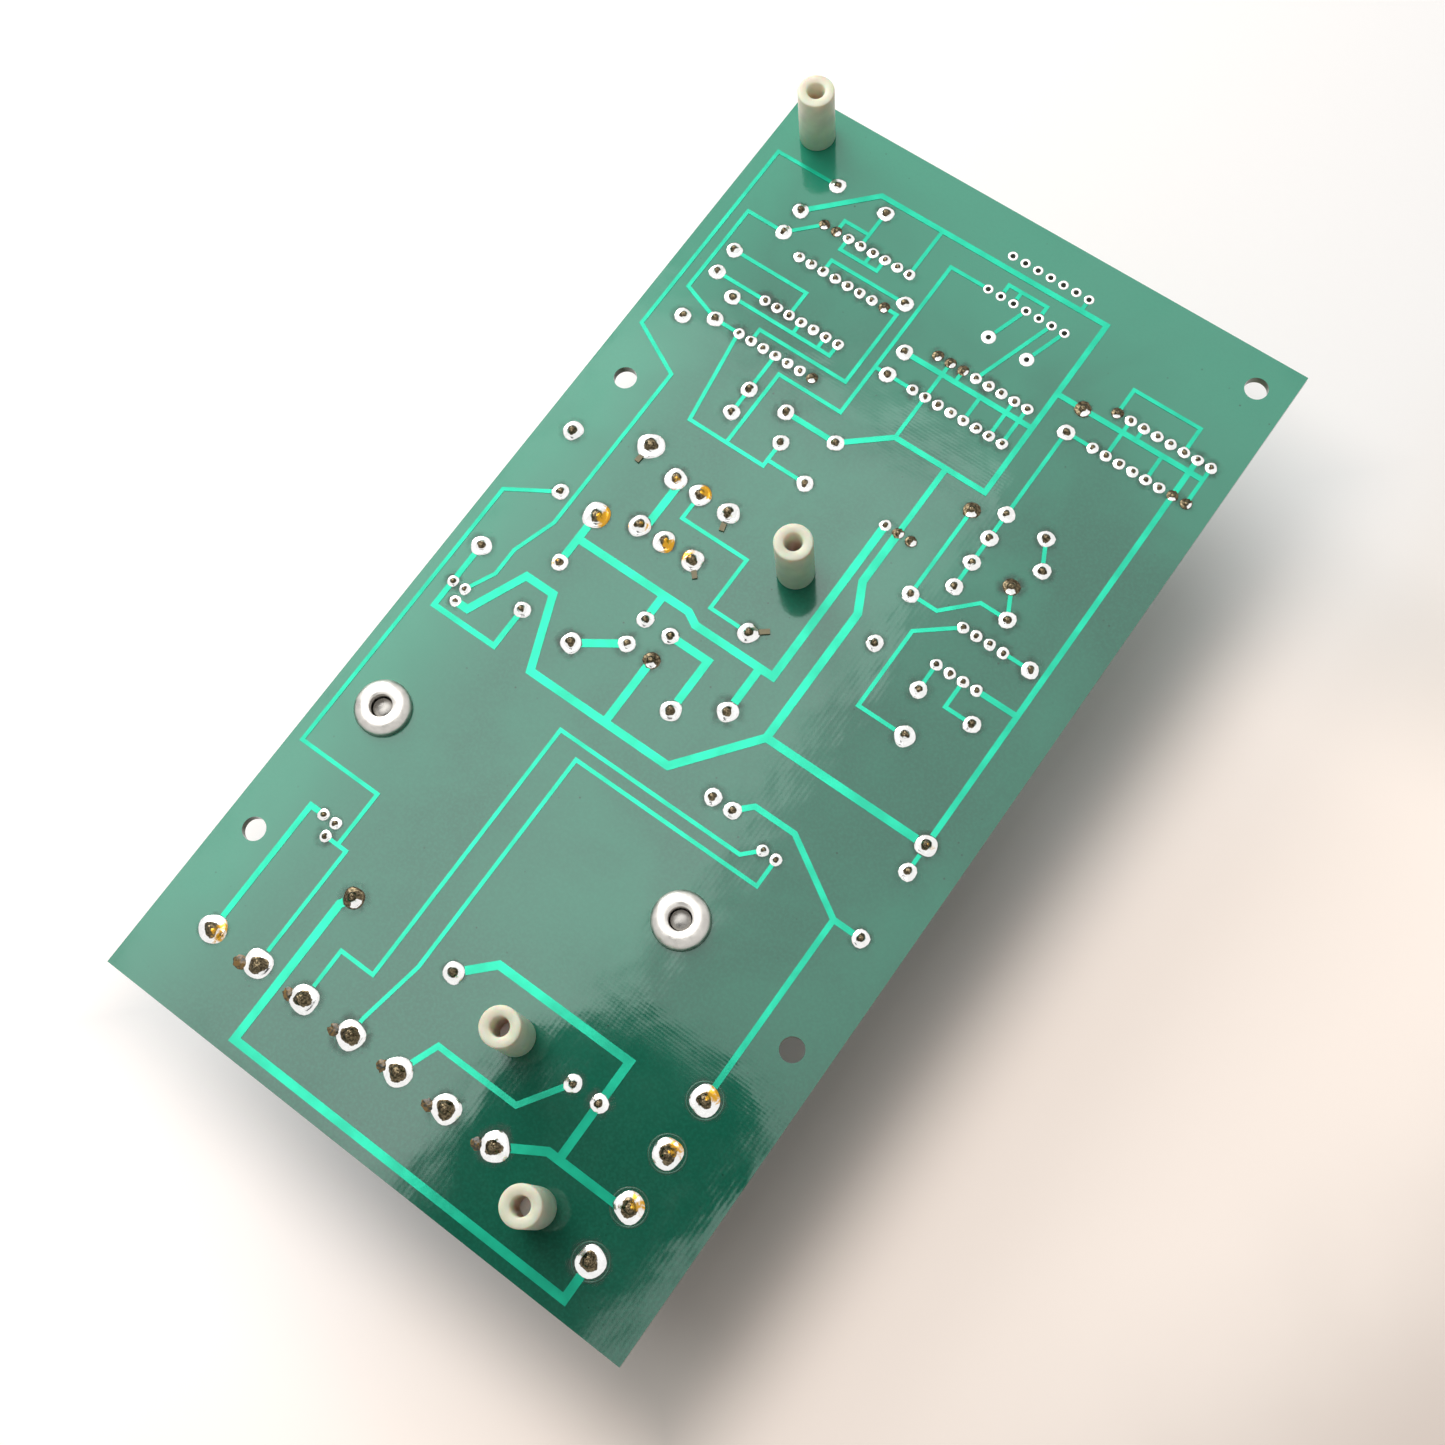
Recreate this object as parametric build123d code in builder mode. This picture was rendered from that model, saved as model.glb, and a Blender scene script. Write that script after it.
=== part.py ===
from build123d import *

import os
from math import radians, tan

# Relay and timer control board, lying on its transformer with the solder side up.
# Millimetres: X along the short side, Y along the long side, Z up.
# The origin is under the middle of the board, level with the transformer's flat top.

os.makedirs("parts", exist_ok=True)

# Board and pad grid
board_width = 101.6
board_length = 190.5
board_thickness = 1.6
pad_pitch = 2.54
middle_column = 12.8
middle_row = 34.55
fixing_hole = 4.0
open_hole = 0.9

# Copper and solder
track_height = 0.07
thin_track = 0.7
medium_track = 1.0
wide_track = 1.42
dip_pad = 1.8
lead_pad = 2.6
power_pad = 3.6
contact_pad = 3.9
terminal_pad = 4.8
small_tip = 0
large_tip = 1.4
joint_slope = 50.0
lead_tab_width = 0.9
lead_tab_thickness = 0.35

# Hidden round forms have this many sides: small ones that repeat, and single larger ones.
hidden_sides = 8
single_sides = 16

# Standoffs and their screws
standoff_diameter = 6.35
standoff_length = 12.7
standoff_bore = 3.0
thread_clearance = 0.05
standoff_screw = 3.5
standoff_screw_length = 6.35
standoff_screw_hole = 3.8
screw_head = 6.0
screw_head_height = 2.2

# Ring nuts
ring_nut_column = 8.605
ring_nut_row = 49.39
mounting_reach = 6.15
ring_nut_flange = 9.5
ring_nut_height = 1.9
ring_nut_bevel = 0.6
ring_nut_shank = 5.6
ring_nut_bore = 3.8
ring_nut_recess = 0.5

# Transformer
core_width = 48.0
core_height = 40.0
core_stack = 22.2
centre_leg = 16.0
outer_leg = 8.0
yoke = 8.0
foot_gap = 1.55
strap_thickness = 1.2
strap_width = 21.0
strap_clearance = 0.25
strap_bend = 1.4
foot_end = 5.55
foot_slot = 4.4
foot_slot_length = 6.5
foot_slot_corner = 1.2
bobbin_clearance = 0.25
bobbin_wall = 1.0
coil_overhang = 8.0
winding_inset = 0.6
winding_corner = 3.0
transformer_wire = 1.6
transformer_wire_bend = 3.0
transformer_wire_drop = 6.5

# Dual in-line packages
ic_row_gap = 3
ic_width = 6.4
ic_thickness = 3.3
ic_rise = 0.5
ic_end = 0.76
ic_draft = 7.0
ic_notch = 1.5
ic_notch_depth = 0.5
ic_lead_thickness = 0.3
ic_lead_width = 0.9

# Relay
relay_column = 3.9
relay_row = 28.0
relay_length = 27.5
relay_width = 21.5
relay_rise = 0.8
relay_base_height = 3.0
relay_cover_height = 24.0
relay_corner = 1.2
relay_base_lip = 0.4
relay_pin_width = 1.8
relay_pin_thickness = 0.6

# Regulator
regulator_row = 21
regulator_width = 10.2
regulator_depth = 3.3
regulator_height = 9.2
regulator_rise = 3.8
tab_thickness = 1.3
tab_height = 15.4
tab_hole = 3.8
tab_hole_inset = 3.0
tab_corner = 1.2
regulator_lead = 0.8

# Bridge rectifier
bridge_diameter = 9.2
bridge_height = 5.6
bridge_rise = 1.2
bridge_lead = 0.8

# Barrier terminals
way_pitch = 9.525
strip_depth = 15.5
strip_offset = 2.8
strip_base = 8.0
barrier_height = 6.6
barrier_thickness = 1.9
clamp_width = 7.0
clamp_depth = 8.5
clamp_thickness = 0.8
clamp_offset = 1.5
clamp_screw = 6.2
clamp_screw_height = 2.2
terminal_pin = 1.4
strip_rise = 0.5

# Small parts
wire = 0.6
thick_wire = 0.9
body_gap = 0.3
radial_rise = 1.0
resistor_diameter = 2.4
resistor_length = 6.4
edge_bevel = 0.4
small_body = 3.0
transistor_diameter = 4.8
transistor_flat = 1.4
transistor_height = 4.8
transistor_rise = 2.0

# Screws of the transformer and the length of its strap over both feet
mounting_centres = core_width + 2 * mounting_reach
frame_length = mounting_centres + 2 * foot_end

# Levels
transformer_height = strap_thickness + strap_clearance + core_height + foot_gap
board_under = transformer_height
board_top = board_under + board_thickness


def at(column, row):
    """Place of a pad seen from the solder side, from its column and row on the grid."""
    return ((column - middle_column) * pad_pitch, (middle_row - row) * pad_pitch)


def under(column, row):
    """The same place on the parts face, whose Y axis runs down the rows."""
    x, y = at(column, row)
    return (x, -y)


def row_of(count, column, row):
    """Places of a row of pads one pitch apart."""
    return [(column + step, row) for step in range(count)]


def save(builder, name):
    """Label one finished piece and write it to its own file."""
    builder.part.label = name
    export_step(builder.part, f"parts/{name}.step")


solder_face = Plane(origin=(0, 0, board_top))
parts_face = Plane(origin=(0, 0, board_under), x_dir=(1, 0, 0), z_dir=(0, 0, -1))

# Pads, by column and row. Each package is (pads a row, first column, first row).
packages = {
    "ic_upper_left": (8, 0, 5),
    "ic_lower_left": (7, 0, 12),
    "ic_middle": (8, 12, 9),
    "ic_right": (8, 24, 6),
    "ic_eight_pin": (4, 24, 24),
}
empty_place = (7, 12, 0)
loose_pads = [(14, 6), (17, 6)]

resistors = [
    ((-1, 2), (3, 2)),
    ((-4, 12), (-4, 16)),
    ((3, 20), (7, 20)),
    ((10, 18), (10, 21.5)),
    ((22, 18), (26, 18)),
    ((22, 22), (26, 22)),
    ((24, 29), (28, 29)),
    ((20, 24), (20, 28)),
]
# Each radial capacitor: its two pads, thickness and height.
capacitors = [
    ((-2, 5), (-2, 7), 3.2, 6.0),
    ((-2, 13), (-2, 15), 3.2, 6.0),
    ((10, 10), (10, 12), 3.2, 6.0),
    ((22, 7), (22, 9), 3.2, 6.0),
    ((22, 16), (25, 16), 4.0, 8.0),
    ((22, 20), (25, 20), 4.0, 8.0),
    ((30, 39), (30, 44), 5.0, 9.5),
    ((21, 61), (23, 61), 4.5, 9.0),
    ((17.5, 42), (19, 42), 3.6, 6.5),
]
radial_margin = 1.2
# Each axial part: its two pads, body diameter and body length.
axials = {
    "filter_capacitor": ((15, 37), (30, 37), 16.0, 31.0),
    "relay_capacitor": ((13, 32), (25, 32), 9.0, 22.0),
    "power_resistor": ((-5, 27), (-5, 37), 5.6, 17.0),
    "relay_diode": ((0, 35), (0, 39), 2.7, 5.2),
}
# Each transistor: its three pads.
transistors = {
    "transistor_left": ((-5, 40), (-4, 40), (-4, 41)),
    "transistor_lower": ((-2, 57), (-1, 57), (-1, 58)),
}
regulator_columns = (16, 17, 18)
bridge_pads = [(7, 35), (9, 35), (7, 37), (9, 37)]
coil_pads = [(0, 25), (0, 31)]
contact_pads = [(column, row) for column in (2.8, 4.8, 7.1) for row in (26, 30)]
transformer_pads = [(4, 39), (12, 39), (3, 60), (11, 60)]
link_pads = [(8, 7), (-4, 10), (3, 18), (6, 18), (20, 17), (29, 24), (22, 43), (23, 43)]

seven_way_middle = 8.2
seven_way_row = 66.63
four_way_column = 28.0
four_way_middle = 62.825
corner_standoff_gap = 4.43
ways_step = way_pitch / pad_pitch
seven_way_pads = [(seven_way_middle + step * ways_step, seven_way_row) for step in range(-3, 4)]
four_way_pads = [(four_way_column, four_way_middle + (step - 1.5) * ways_step) for step in range(4)]

ring_nut_places = [
    (at(ring_nut_column, ring_nut_row)[0] + side * mounting_centres / 2, at(0, ring_nut_row)[1])
    for side in (-1, 1)
]
standoff_places = [
    at(-4.45, -0.5),
    at(13.08, 26.87),
    at(16.48, 60.81),
    at(four_way_column - corner_standoff_gap, 67.95),
]
fixing_places = [at(30.45, -0.46), at(-4.44, 21.93), at(-5.07, 60.27), at(30.46, 51.79)]


def package_pads(pads, column, row):
    """Both pad rows of a dual in-line package."""
    return row_of(pads, column, row) + row_of(pads, column, row + ic_row_gap)


dip_places = [pad for package in packages.values() for pad in package_pads(*package)]
dip_places += [(column, regulator_row) for column in regulator_columns]
dip_places += [pad for trio in transistors.values() for pad in trio]
dip_places += [(22, 43), (23, 43)]
lead_places = [pad for pair in resistors for pad in pair]
lead_places += [pad for part in capacitors for pad in part[:2]]
lead_places += [pad for pad in link_pads if pad not in dip_places]
lead_places += [(0, 35), (0, 39), (-3, 31)] + bridge_pads
power_places = [(15, 37), (30, 37), (13, 32), (25, 32), (-5, 27), (-5, 37)] + transformer_pads
empty_places = package_pads(*empty_place)

# Each pad size: outline, flat tip of its joint, and where it stands.
joint_sizes = {
    dip_pad: (small_tip, dip_places),
    lead_pad: (small_tip, lead_places),
    power_pad: (large_tip, power_places),
    contact_pad: (large_tip, contact_pads),
    terminal_pad: (large_tip, coil_pads + seven_way_pads + four_way_pads),
}

# Tracks on the solder side, by width: each is a run of grid points.
tracks = {
    thin_track: [
        [(-1, 2), (-6, 2), (-6, 18), (-2, 20), (-2, 33), (-3, 36), (-3, 38), (-4, 40)],
        [(7, 5), (7, 1)],
        [(18, 0), (18, 1)],
        [(3, 2), (3, 5)],
        [(3, 4), (1, 4), (1, 5)],
        [(2, 5), (2, 6), (5, 6), (5, 5)],
        [(4, 6), (4, 5)],
        [(-2, 7), (0, 5)],
        [(-2, 7), (-5, 7), (-5, 14), (-2, 15), (0, 15)],
        [(8, 7), (2, 7), (2, 8)],
        [(7, 8), (8, 8), (8, 14), (1, 14), (1, 15)],
        [(-4, 10), (2, 10), (2, 12)],
        [(-4, 12), (0, 12)],
        [(-2, 13), (6, 13), (6, 12)],
        [(3, 13), (3, 12)],
        [(5, 13), (5, 12)],
        [(0, 15), (0, 15.4), (1, 22), (7, 22), (7, 20)],
        [(7, 21.5), (10, 21.5)],
        [(3, 15), (3, 20)],
        [(12, 3), (9, 3), (9, 16), (4, 16), (4, 22)],
        [(9, 12), (12, 12)],
        [(13, 3), (13, 2), (16, 2), (16, 3)],
        [(14, 2), (14, 3)],
        [(15, 3), (14, 6)],
        [(17, 3), (15, 9)],
        [(18, 3), (17, 6)],
        [(13, 9), (13, 15.5)],
        [(14, 9), (14, 10)],
        [(16, 10), (16, 12)],
        [(18, 9), (18, 12)],
        [(19, 9), (19, 12)],
        [(24, 6), (24, 4), (29, 4), (29, 6)],
        [(25, 6), (25, 9)],
        [(26, 6), (26, 7)],
        [(28, 9), (28, 7)],
        [(31, 6), (31, 9)],
        [(24, 9), (22, 9), (22, 22)],
        [(25, 16), (26, 18)],
        [(25, 20), (26, 22), (24, 22), (22, 24), (20, 24), (20, 17)],
        [(27, 24), (29, 24)],
        [(24, 24), (21.5, 26), (21.5, 32), (25, 32)],
        [(24, 27), (24, 29)],
        [(26, 27), (26, 29), (28, 29)],
        [(-3, 31), (-6.3, 33), (-6.3, 54), (0, 54), (0, 58)],
        [(-1, 58), (0.7, 58), (0.7, seven_way_row)],
        [(30, 37), (30, 39)],
        [(4.8, 26), (4.8, 28), (10, 28), (10, 32), (13, 32)],
        [(22, 43), (21, 44), (7, 44), (7, 63), (4.45, 63), (4.45, seven_way_row)],
        [(23, 43), (23, 45), (9, 45), (9, 61), (8.2, 65.4), (8.2, seven_way_row)],
    ],
    medium_track: [
        [(-2, 5), (2, 1), (20, 1), (20, 15.5), (13, 15.5), (10, 18)],
        [(10, 10), (20, 10)],
        [(20, 7), (31, 7)],
        [(30, 6), (30, 37)],
        [(27, 27), (30, 27)],
        [(-5, 37), (-5, 42), (0, 42), (0, 39)],
        [(-2, 57), (-3.05, 57), (-3.05, seven_way_row)],
        [(19, 42), (20, 41), (23, 41), (28, 44), (30, 44)],
        [(28, 44), four_way_pads[0]],
        [(10, 18), (6, 18)],
        [(17, 15.5), (17, 21)],
        [(21, 61), (19, 64), (13, 64), (11.95, seven_way_row)],
    ],
    wide_track: [
        [(17, 21), (17, 25), (18, 27), (18, 37), (30, 37)],
        [(16, 21), (16, 33.5), (9.9, 33.5), (9, 33), (0, 33)],
        [(0, 31), (0, 35)],
        [(7, 33), (7, 35)],
        [(15, 33.5), (15, 37)],
        [(18, 37), (14, 42), (3, 42), (1, 37), (-1.2, 37), (-3, 41), (-4, 41)],
        [(9, 37), (9, 42)],
        [(3.2, 26), (3.2, 30)],
        [(9, 35), (12, 35), (12, 39)],
        [(7, 37), (4, 39)],
        [(3, 60), (2.5, 60.8), (2.5, 71), (four_way_column, 71), four_way_pads[3]],
        [(11, 60), (13, 58), (23, 58), (23, 65)],
        [four_way_pads[2], (four_way_column - 0.6, 65), (22.2, 65), seven_way_pads[6]],
    ],
}


def pad_sides(diameter):
    """Small pads are drawn with six sides and the larger ones with eight."""
    return 8 if diameter > lead_pad else 6


def pad_outline(diameter, places):
    """Pads at the given places of the grid, flat on their upper and lower sides."""
    sides = pad_sides(diameter)
    with Locations(*[at(*place) for place in places]):
        RegularPolygon(diameter / 2, sides, major_radius=False, rotation=180 / sides)


def joint(diameter, tip):
    """One solder joint: a cone of solder on its pad, cut flat at the lead's end if large."""
    height = (diameter - tip) / 2 / tan(radians(joint_slope))
    sides = pad_sides(diameter)
    with BuildPart() as piece:
        with BuildSketch(solder_face) as base:
            RegularPolygon(diameter / 2, sides, major_radius=False, rotation=180 / sides)
        if tip:
            extrude(amount=height, taper=joint_slope)
        else:
            loft(sections=[base.sketch.faces()[0], Vertex(0, 0, board_top + height)])
    return piece.part


# The bare board with its holes.
with BuildPart() as circuit_board:
    with BuildSketch(Plane.XY.offset(board_under)):
        Rectangle(board_width, board_length)
        with Locations(*fixing_places):
            Circle(fixing_hole / 2, mode=Mode.SUBTRACT)
        with Locations(*standoff_places):
            RegularPolygon(standoff_screw_hole / 2, hidden_sides, mode=Mode.SUBTRACT)
        with Locations(*ring_nut_places):
            RegularPolygon(ring_nut_shank / 2, hidden_sides, mode=Mode.SUBTRACT)
        with Locations(*[at(*place) for place in empty_places + loose_pads]):
            RegularPolygon(open_hole / 2, 6, major_radius=False, rotation=30, mode=Mode.SUBTRACT)
    extrude(amount=board_thickness)
save(circuit_board, "circuit_board")

# Copper runs that stop at the edge of each pad.
with BuildPart() as solder_side_tracks:
    with BuildSketch(solder_face) as copper:
        for width, runs in tracks.items():
            for run in runs:
                with BuildLine():
                    Polyline(*[at(*point) for point in run])
                trace(line_width=width)
        with BuildSketch(mode=Mode.SUBTRACT):
            for diameter, (tip, places) in joint_sizes.items():
                pad_outline(diameter, places)
            pad_outline(dip_pad, empty_places)
            pad_outline(lead_pad, loose_pads)
    extrude(amount=track_height)
save(solder_side_tracks, "solder_side_tracks")

# Tinned rings with open holes.
with BuildPart() as empty_pads:
    with BuildSketch(solder_face):
        pad_outline(dip_pad, empty_places)
        pad_outline(lead_pad, loose_pads)
        with Locations(*[at(*place) for place in empty_places + loose_pads]):
            RegularPolygon(open_hole / 2, 6, major_radius=False, rotation=30, mode=Mode.SUBTRACT)
    extrude(amount=track_height)
save(empty_pads, "empty_pads")

joints = {diameter: joint(diameter, tip) for diameter, (tip, places) in joint_sizes.items()}
with BuildPart() as solder_joints:
    for diameter, (tip, places) in joint_sizes.items():
        with Locations(*[at(*place) for place in places]):
            add(joints[diameter])
save(solder_joints, "solder_joints")

# Lead ends bent over on the solder side beside their joints.
lead_tabs_runs = [
    ((0, 25), (-0.11, 26.45), terminal_pad),
    ((7.1, 26), (7.45, 27.3), contact_pad),
    ((7.1, 30), (8.0, 30.95), contact_pad),
    ((13, 32), (14.1, 31.15), power_pad),
]
with BuildPart() as lead_tabs:
    with BuildSketch(solder_face):
        for start, end, pad in lead_tabs_runs:
            with BuildLine():
                Line(at(*start), at(*end))
            trace(line_width=lead_tab_width)
        with BuildSketch(mode=Mode.SUBTRACT):
            for start, end, pad in lead_tabs_runs:
                pad_outline(pad, [start])
            with Locations(*[at(*start) for start, end, pad in lead_tabs_runs]):
                Circle(lead_tab_width)
    extrude(amount=lead_tab_thickness)
save(lead_tabs, "lead_tabs")

# Round nylon standoffs: the screw has cut its own thread in the lower stretch.
screw_depth = standoff_screw_length - board_thickness
with BuildPart() as nylon_standoffs:
    with BuildSketch(solder_face):
        with Locations(*standoff_places):
            Circle(standoff_diameter / 2)
            Circle(standoff_bore / 2, mode=Mode.SUBTRACT)
    extrude(amount=standoff_length)
    with BuildSketch(solder_face):
        with Locations(*standoff_places):
            RegularPolygon(standoff_screw / 2 + thread_clearance, hidden_sides)
    extrude(amount=screw_depth, mode=Mode.SUBTRACT)
save(nylon_standoffs, "nylon_standoffs")

with BuildPart() as standoff_screws:
    with BuildSketch(parts_face):
        with Locations(*[(x, -y) for x, y in standoff_places]):
            RegularPolygon(screw_head / 2, hidden_sides)
    extrude(amount=screw_head_height)
    with BuildSketch(Plane.XY.offset(board_under)):
        with Locations(*standoff_places):
            RegularPolygon(standoff_screw / 2, hidden_sides)
    extrude(amount=standoff_screw_length)
save(standoff_screws, "standoff_screws")

# Flanged ring nuts pressed into the board from the solder side.
with BuildPart() as ring_nuts:
    with BuildSketch(solder_face):
        with Locations(*ring_nut_places):
            Circle(ring_nut_flange / 2)
    extrude(amount=ring_nut_height)
    chamfer(ring_nuts.faces().sort_by(Axis.Z)[-2:].edges(), ring_nut_bevel)
    with BuildSketch(Plane.XY.offset(board_under)):
        with Locations(*ring_nut_places):
            RegularPolygon(ring_nut_shank / 2, hidden_sides)
    extrude(amount=board_thickness)
    with BuildSketch(Plane.XY.offset(board_under)):
        with Locations(*ring_nut_places):
            Circle(ring_nut_bore / 2)
    extrude(amount=board_thickness + ring_nut_height, mode=Mode.SUBTRACT)
save(ring_nuts, "ring_nuts")

# Transformer: laminated core in a folded strap whose feet stand on the board.
coil_x, coil_y = at(ring_nut_column, ring_nut_row)
core_bottom = strap_thickness + strap_clearance
core_middle = core_bottom + core_height / 2
window_width = (core_width - centre_leg) / 2 - outer_leg
window_height = core_height - 2 * yoke
core_plane = Plane(origin=(coil_x, coil_y, core_middle), x_dir=(1, 0, 0), z_dir=(0, 1, 0))
with BuildPart() as transformer_core:
    with BuildSketch(core_plane):
        Rectangle(core_width, core_height)
        with GridLocations(centre_leg + window_width, 0, 2, 1):
            Rectangle(window_width, window_height, mode=Mode.SUBTRACT)
    extrude(amount=core_stack / 2, both=True)
save(transformer_core, "transformer_core")

side_x = core_width / 2 + strap_clearance + strap_thickness / 2
foot_z = board_under - strap_thickness / 2
strap_plane = Plane(origin=(coil_x, coil_y, 0), x_dir=(1, 0, 0), z_dir=(0, -1, 0))
with BuildPart() as transformer_frame:
    with BuildSketch(strap_plane):
        with BuildLine():
            FilletPolyline(
                (-frame_length / 2, foot_z),
                (-side_x, foot_z),
                (-side_x, strap_thickness / 2),
                (side_x, strap_thickness / 2),
                (side_x, foot_z),
                (frame_length / 2, foot_z),
                radius=strap_bend,
            )
        trace(line_width=strap_thickness)
    extrude(amount=strap_width / 2, both=True)
    with BuildSketch(parts_face):
        with Locations(*[(x, -y) for x, y in ring_nut_places]):
            slots = Rectangle(foot_slot_length, foot_slot)
        chamfer(slots.vertices(), foot_slot_corner)
    extrude(amount=strap_thickness, mode=Mode.SUBTRACT)
save(transformer_frame, "transformer_frame")

bobbin_plane = Plane(origin=(coil_x, coil_y, core_middle))
tube_width = centre_leg + 2 * (bobbin_clearance + bobbin_wall)
tube_depth = core_stack + 2 * (bobbin_clearance + bobbin_wall)
flange_width = centre_leg + 2 * (window_width - bobbin_clearance)
flange_depth = core_stack + 2 * coil_overhang
bobbin_height = window_height - 2 * bobbin_clearance
with BuildPart() as transformer_bobbin:
    with BuildSketch(bobbin_plane):
        Rectangle(tube_width, tube_depth)
    extrude(amount=bobbin_height / 2, both=True)
    with BuildSketch(
        bobbin_plane.offset(-bobbin_height / 2),
        bobbin_plane.offset(bobbin_height / 2 - bobbin_wall),
    ):
        Rectangle(flange_width, flange_depth)
    extrude(amount=bobbin_wall)
    with BuildSketch(bobbin_plane):
        Rectangle(tube_width - 2 * bobbin_wall, tube_depth - 2 * bobbin_wall)
    extrude(amount=bobbin_height / 2, both=True, mode=Mode.SUBTRACT)
save(transformer_bobbin, "transformer_bobbin")

with BuildPart() as transformer_winding:
    with BuildSketch(bobbin_plane):
        turns = Rectangle(flange_width - 2 * winding_inset, flange_depth - 2 * winding_inset)
        chamfer(turns.vertices(), winding_corner)
        Rectangle(tube_width, tube_depth, mode=Mode.SUBTRACT)
    extrude(amount=bobbin_height / 2 - bobbin_wall, both=True)
save(transformer_winding, "transformer_winding")

# Insulated leads from the coil's two faces to their pads.
with BuildPart() as transformer_leads:
    for column, row in transformer_pads:
        x, y = at(column, row)
        side = 1 if y > coil_y else -1
        face_y = coil_y + side * (flange_depth / 2 - winding_inset)
        with BuildLine() as route:
            Polyline(
                (x, face_y, board_under - transformer_wire_drop),
                (x, y - side * transformer_wire_bend, board_under - transformer_wire_drop),
                (x, y, board_under - transformer_wire_drop + transformer_wire_bend),
                (x, y, board_under),
            )
        wire_end = (x, face_y, board_under - transformer_wire_drop)
        with BuildSketch(Plane(origin=wire_end, z_dir=(0, side, 0))):
            RegularPolygon(transformer_wire / 2, 6)
        sweep(path=route.wire(), transition=Transition.RIGHT)
save(transformer_leads, "transformer_leads")

with BuildPart() as transformer_screws:
    with BuildSketch(parts_face.offset(strap_thickness)):
        with Locations(*[(x, -y) for x, y in ring_nut_places]):
            RegularPolygon(screw_head / 2, hidden_sides)
    extrude(amount=screw_head_height)
    with BuildSketch(Plane.XY.offset(board_under - strap_thickness)):
        with Locations(*ring_nut_places):
            RegularPolygon(ring_nut_bore / 2 - thread_clearance, hidden_sides)
    extrude(amount=strap_thickness + board_thickness + ring_nut_height - ring_nut_recess)
save(transformer_screws, "transformer_screws")

# Dual in-line packages: drafted bodies with a notch at pin one's end.
with BuildPart() as ic_lead:
    shoulder = ic_row_gap * pad_pitch / 2 - ic_width / 2
    lead_drop = ic_rise + ic_thickness / 2
    with BuildSketch(Plane.YZ):
        with BuildLine():
            Polyline((0, 0), (0, -lead_drop), (-shoulder, -lead_drop))
        trace(line_width=ic_lead_thickness)
    extrude(amount=ic_lead_width / 2, both=True)

far_rows = []
near_rows = []
for name, (pads, column, row) in packages.items():
    middle = under(column + (pads - 1) / 2, row + ic_row_gap / 2)
    length = (pads - 1) * pad_pitch + 2 * ic_end
    parting = parts_face.offset(ic_rise + ic_thickness / 2)
    with BuildPart() as package:
        with BuildSketch(parting):
            with Locations(middle):
                Rectangle(length, ic_width)
        extrude(amount=ic_thickness / 2, both=True, taper=ic_draft)
        with BuildSketch(parts_face.offset(ic_rise + ic_thickness)):
            with Locations((middle[0] - length / 2, middle[1])):
                RegularPolygon(ic_notch, 6)
        extrude(amount=-ic_notch_depth, mode=Mode.SUBTRACT)
    save(package, name)
    far_rows += [(*at(*pad), board_under) for pad in row_of(pads, column, row)]
    near_rows += [(*at(*pad), board_under) for pad in row_of(pads, column, row + ic_row_gap)]

with BuildPart() as ic_leads:
    with Locations(*far_rows):
        add(ic_lead.part)
    with Locations(*[Location(place, (0, 0, 180)) for place in near_rows]):
        add(ic_lead.part)
save(ic_leads, "ic_leads")

# Relay: base on its pins, and a cover with bevelled corners.
relay_middle = under(relay_column, relay_row)
with BuildPart() as relay_pins:
    with BuildSketch(parts_face):
        with Locations(*[under(*pad) for pad in coil_pads + contact_pads]):
            Rectangle(relay_pin_thickness, relay_pin_width)
    extrude(amount=relay_rise)
save(relay_pins, "relay_pins")

with BuildPart() as relay_base:
    with BuildSketch(parts_face.offset(relay_rise)):
        with Locations(relay_middle):
            outline = Rectangle(relay_length, relay_width)
        chamfer(outline.vertices(), relay_corner)
    extrude(amount=relay_base_height)
save(relay_base, "relay_base")

with BuildPart() as relay_cover:
    with BuildSketch(parts_face.offset(relay_rise + relay_base_height)):
        with Locations(relay_middle):
            outline = Rectangle(relay_length - 2 * relay_base_lip, relay_width - 2 * relay_base_lip)
        chamfer(outline.vertices(), relay_corner)
    extrude(amount=relay_cover_height)
    chamfer(relay_cover.faces().sort_by(Axis.Z)[0].edges(), relay_base_lip)
save(relay_cover, "relay_cover")

# Regulator standing on its three leads, with its metal tab behind.
regulator_x, regulator_y = at(regulator_columns[1], regulator_row)
tab_plane = Plane(
    origin=(regulator_x, regulator_y + regulator_depth / 2, board_under - regulator_rise),
    x_dir=(1, 0, 0),
    z_dir=(0, 1, 0),
)
with BuildPart() as regulator_body:
    with BuildSketch(parts_face.offset(regulator_rise)):
        with Locations(under(regulator_columns[1], regulator_row)):
            Rectangle(regulator_width, regulator_depth)
    extrude(amount=regulator_height)
    chamfer(regulator_body.faces().sort_by(Axis.Y)[0].edges(), edge_bevel)
save(regulator_body, "regulator_body")

with BuildPart() as regulator_tab:
    with BuildSketch(tab_plane):
        with Locations((0, tab_height / 2)):
            Rectangle(regulator_width, tab_height)
        with Locations((0, tab_height - tab_hole_inset)):
            RegularPolygon(tab_hole / 2, hidden_sides, mode=Mode.SUBTRACT)
    extrude(amount=tab_thickness)
    chamfer(regulator_tab.edges().filter_by(Axis.Y).group_by(Axis.Z)[0], tab_corner)
save(regulator_tab, "regulator_tab")

with BuildPart() as regulator_leads:
    with BuildSketch(parts_face):
        with Locations(*[under(column, regulator_row) for column in regulator_columns]):
            Rectangle(regulator_lead, wire)
    extrude(amount=regulator_rise)
save(regulator_leads, "regulator_leads")

# Round bridge rectifier on four leads.
with BuildPart() as bridge_rectifier:
    with BuildSketch(parts_face.offset(bridge_rise)):
        with Locations(under(8, 36)):
            RegularPolygon(bridge_diameter / 2, single_sides)
    extrude(amount=bridge_height)
save(bridge_rectifier, "bridge_rectifier")


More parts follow.
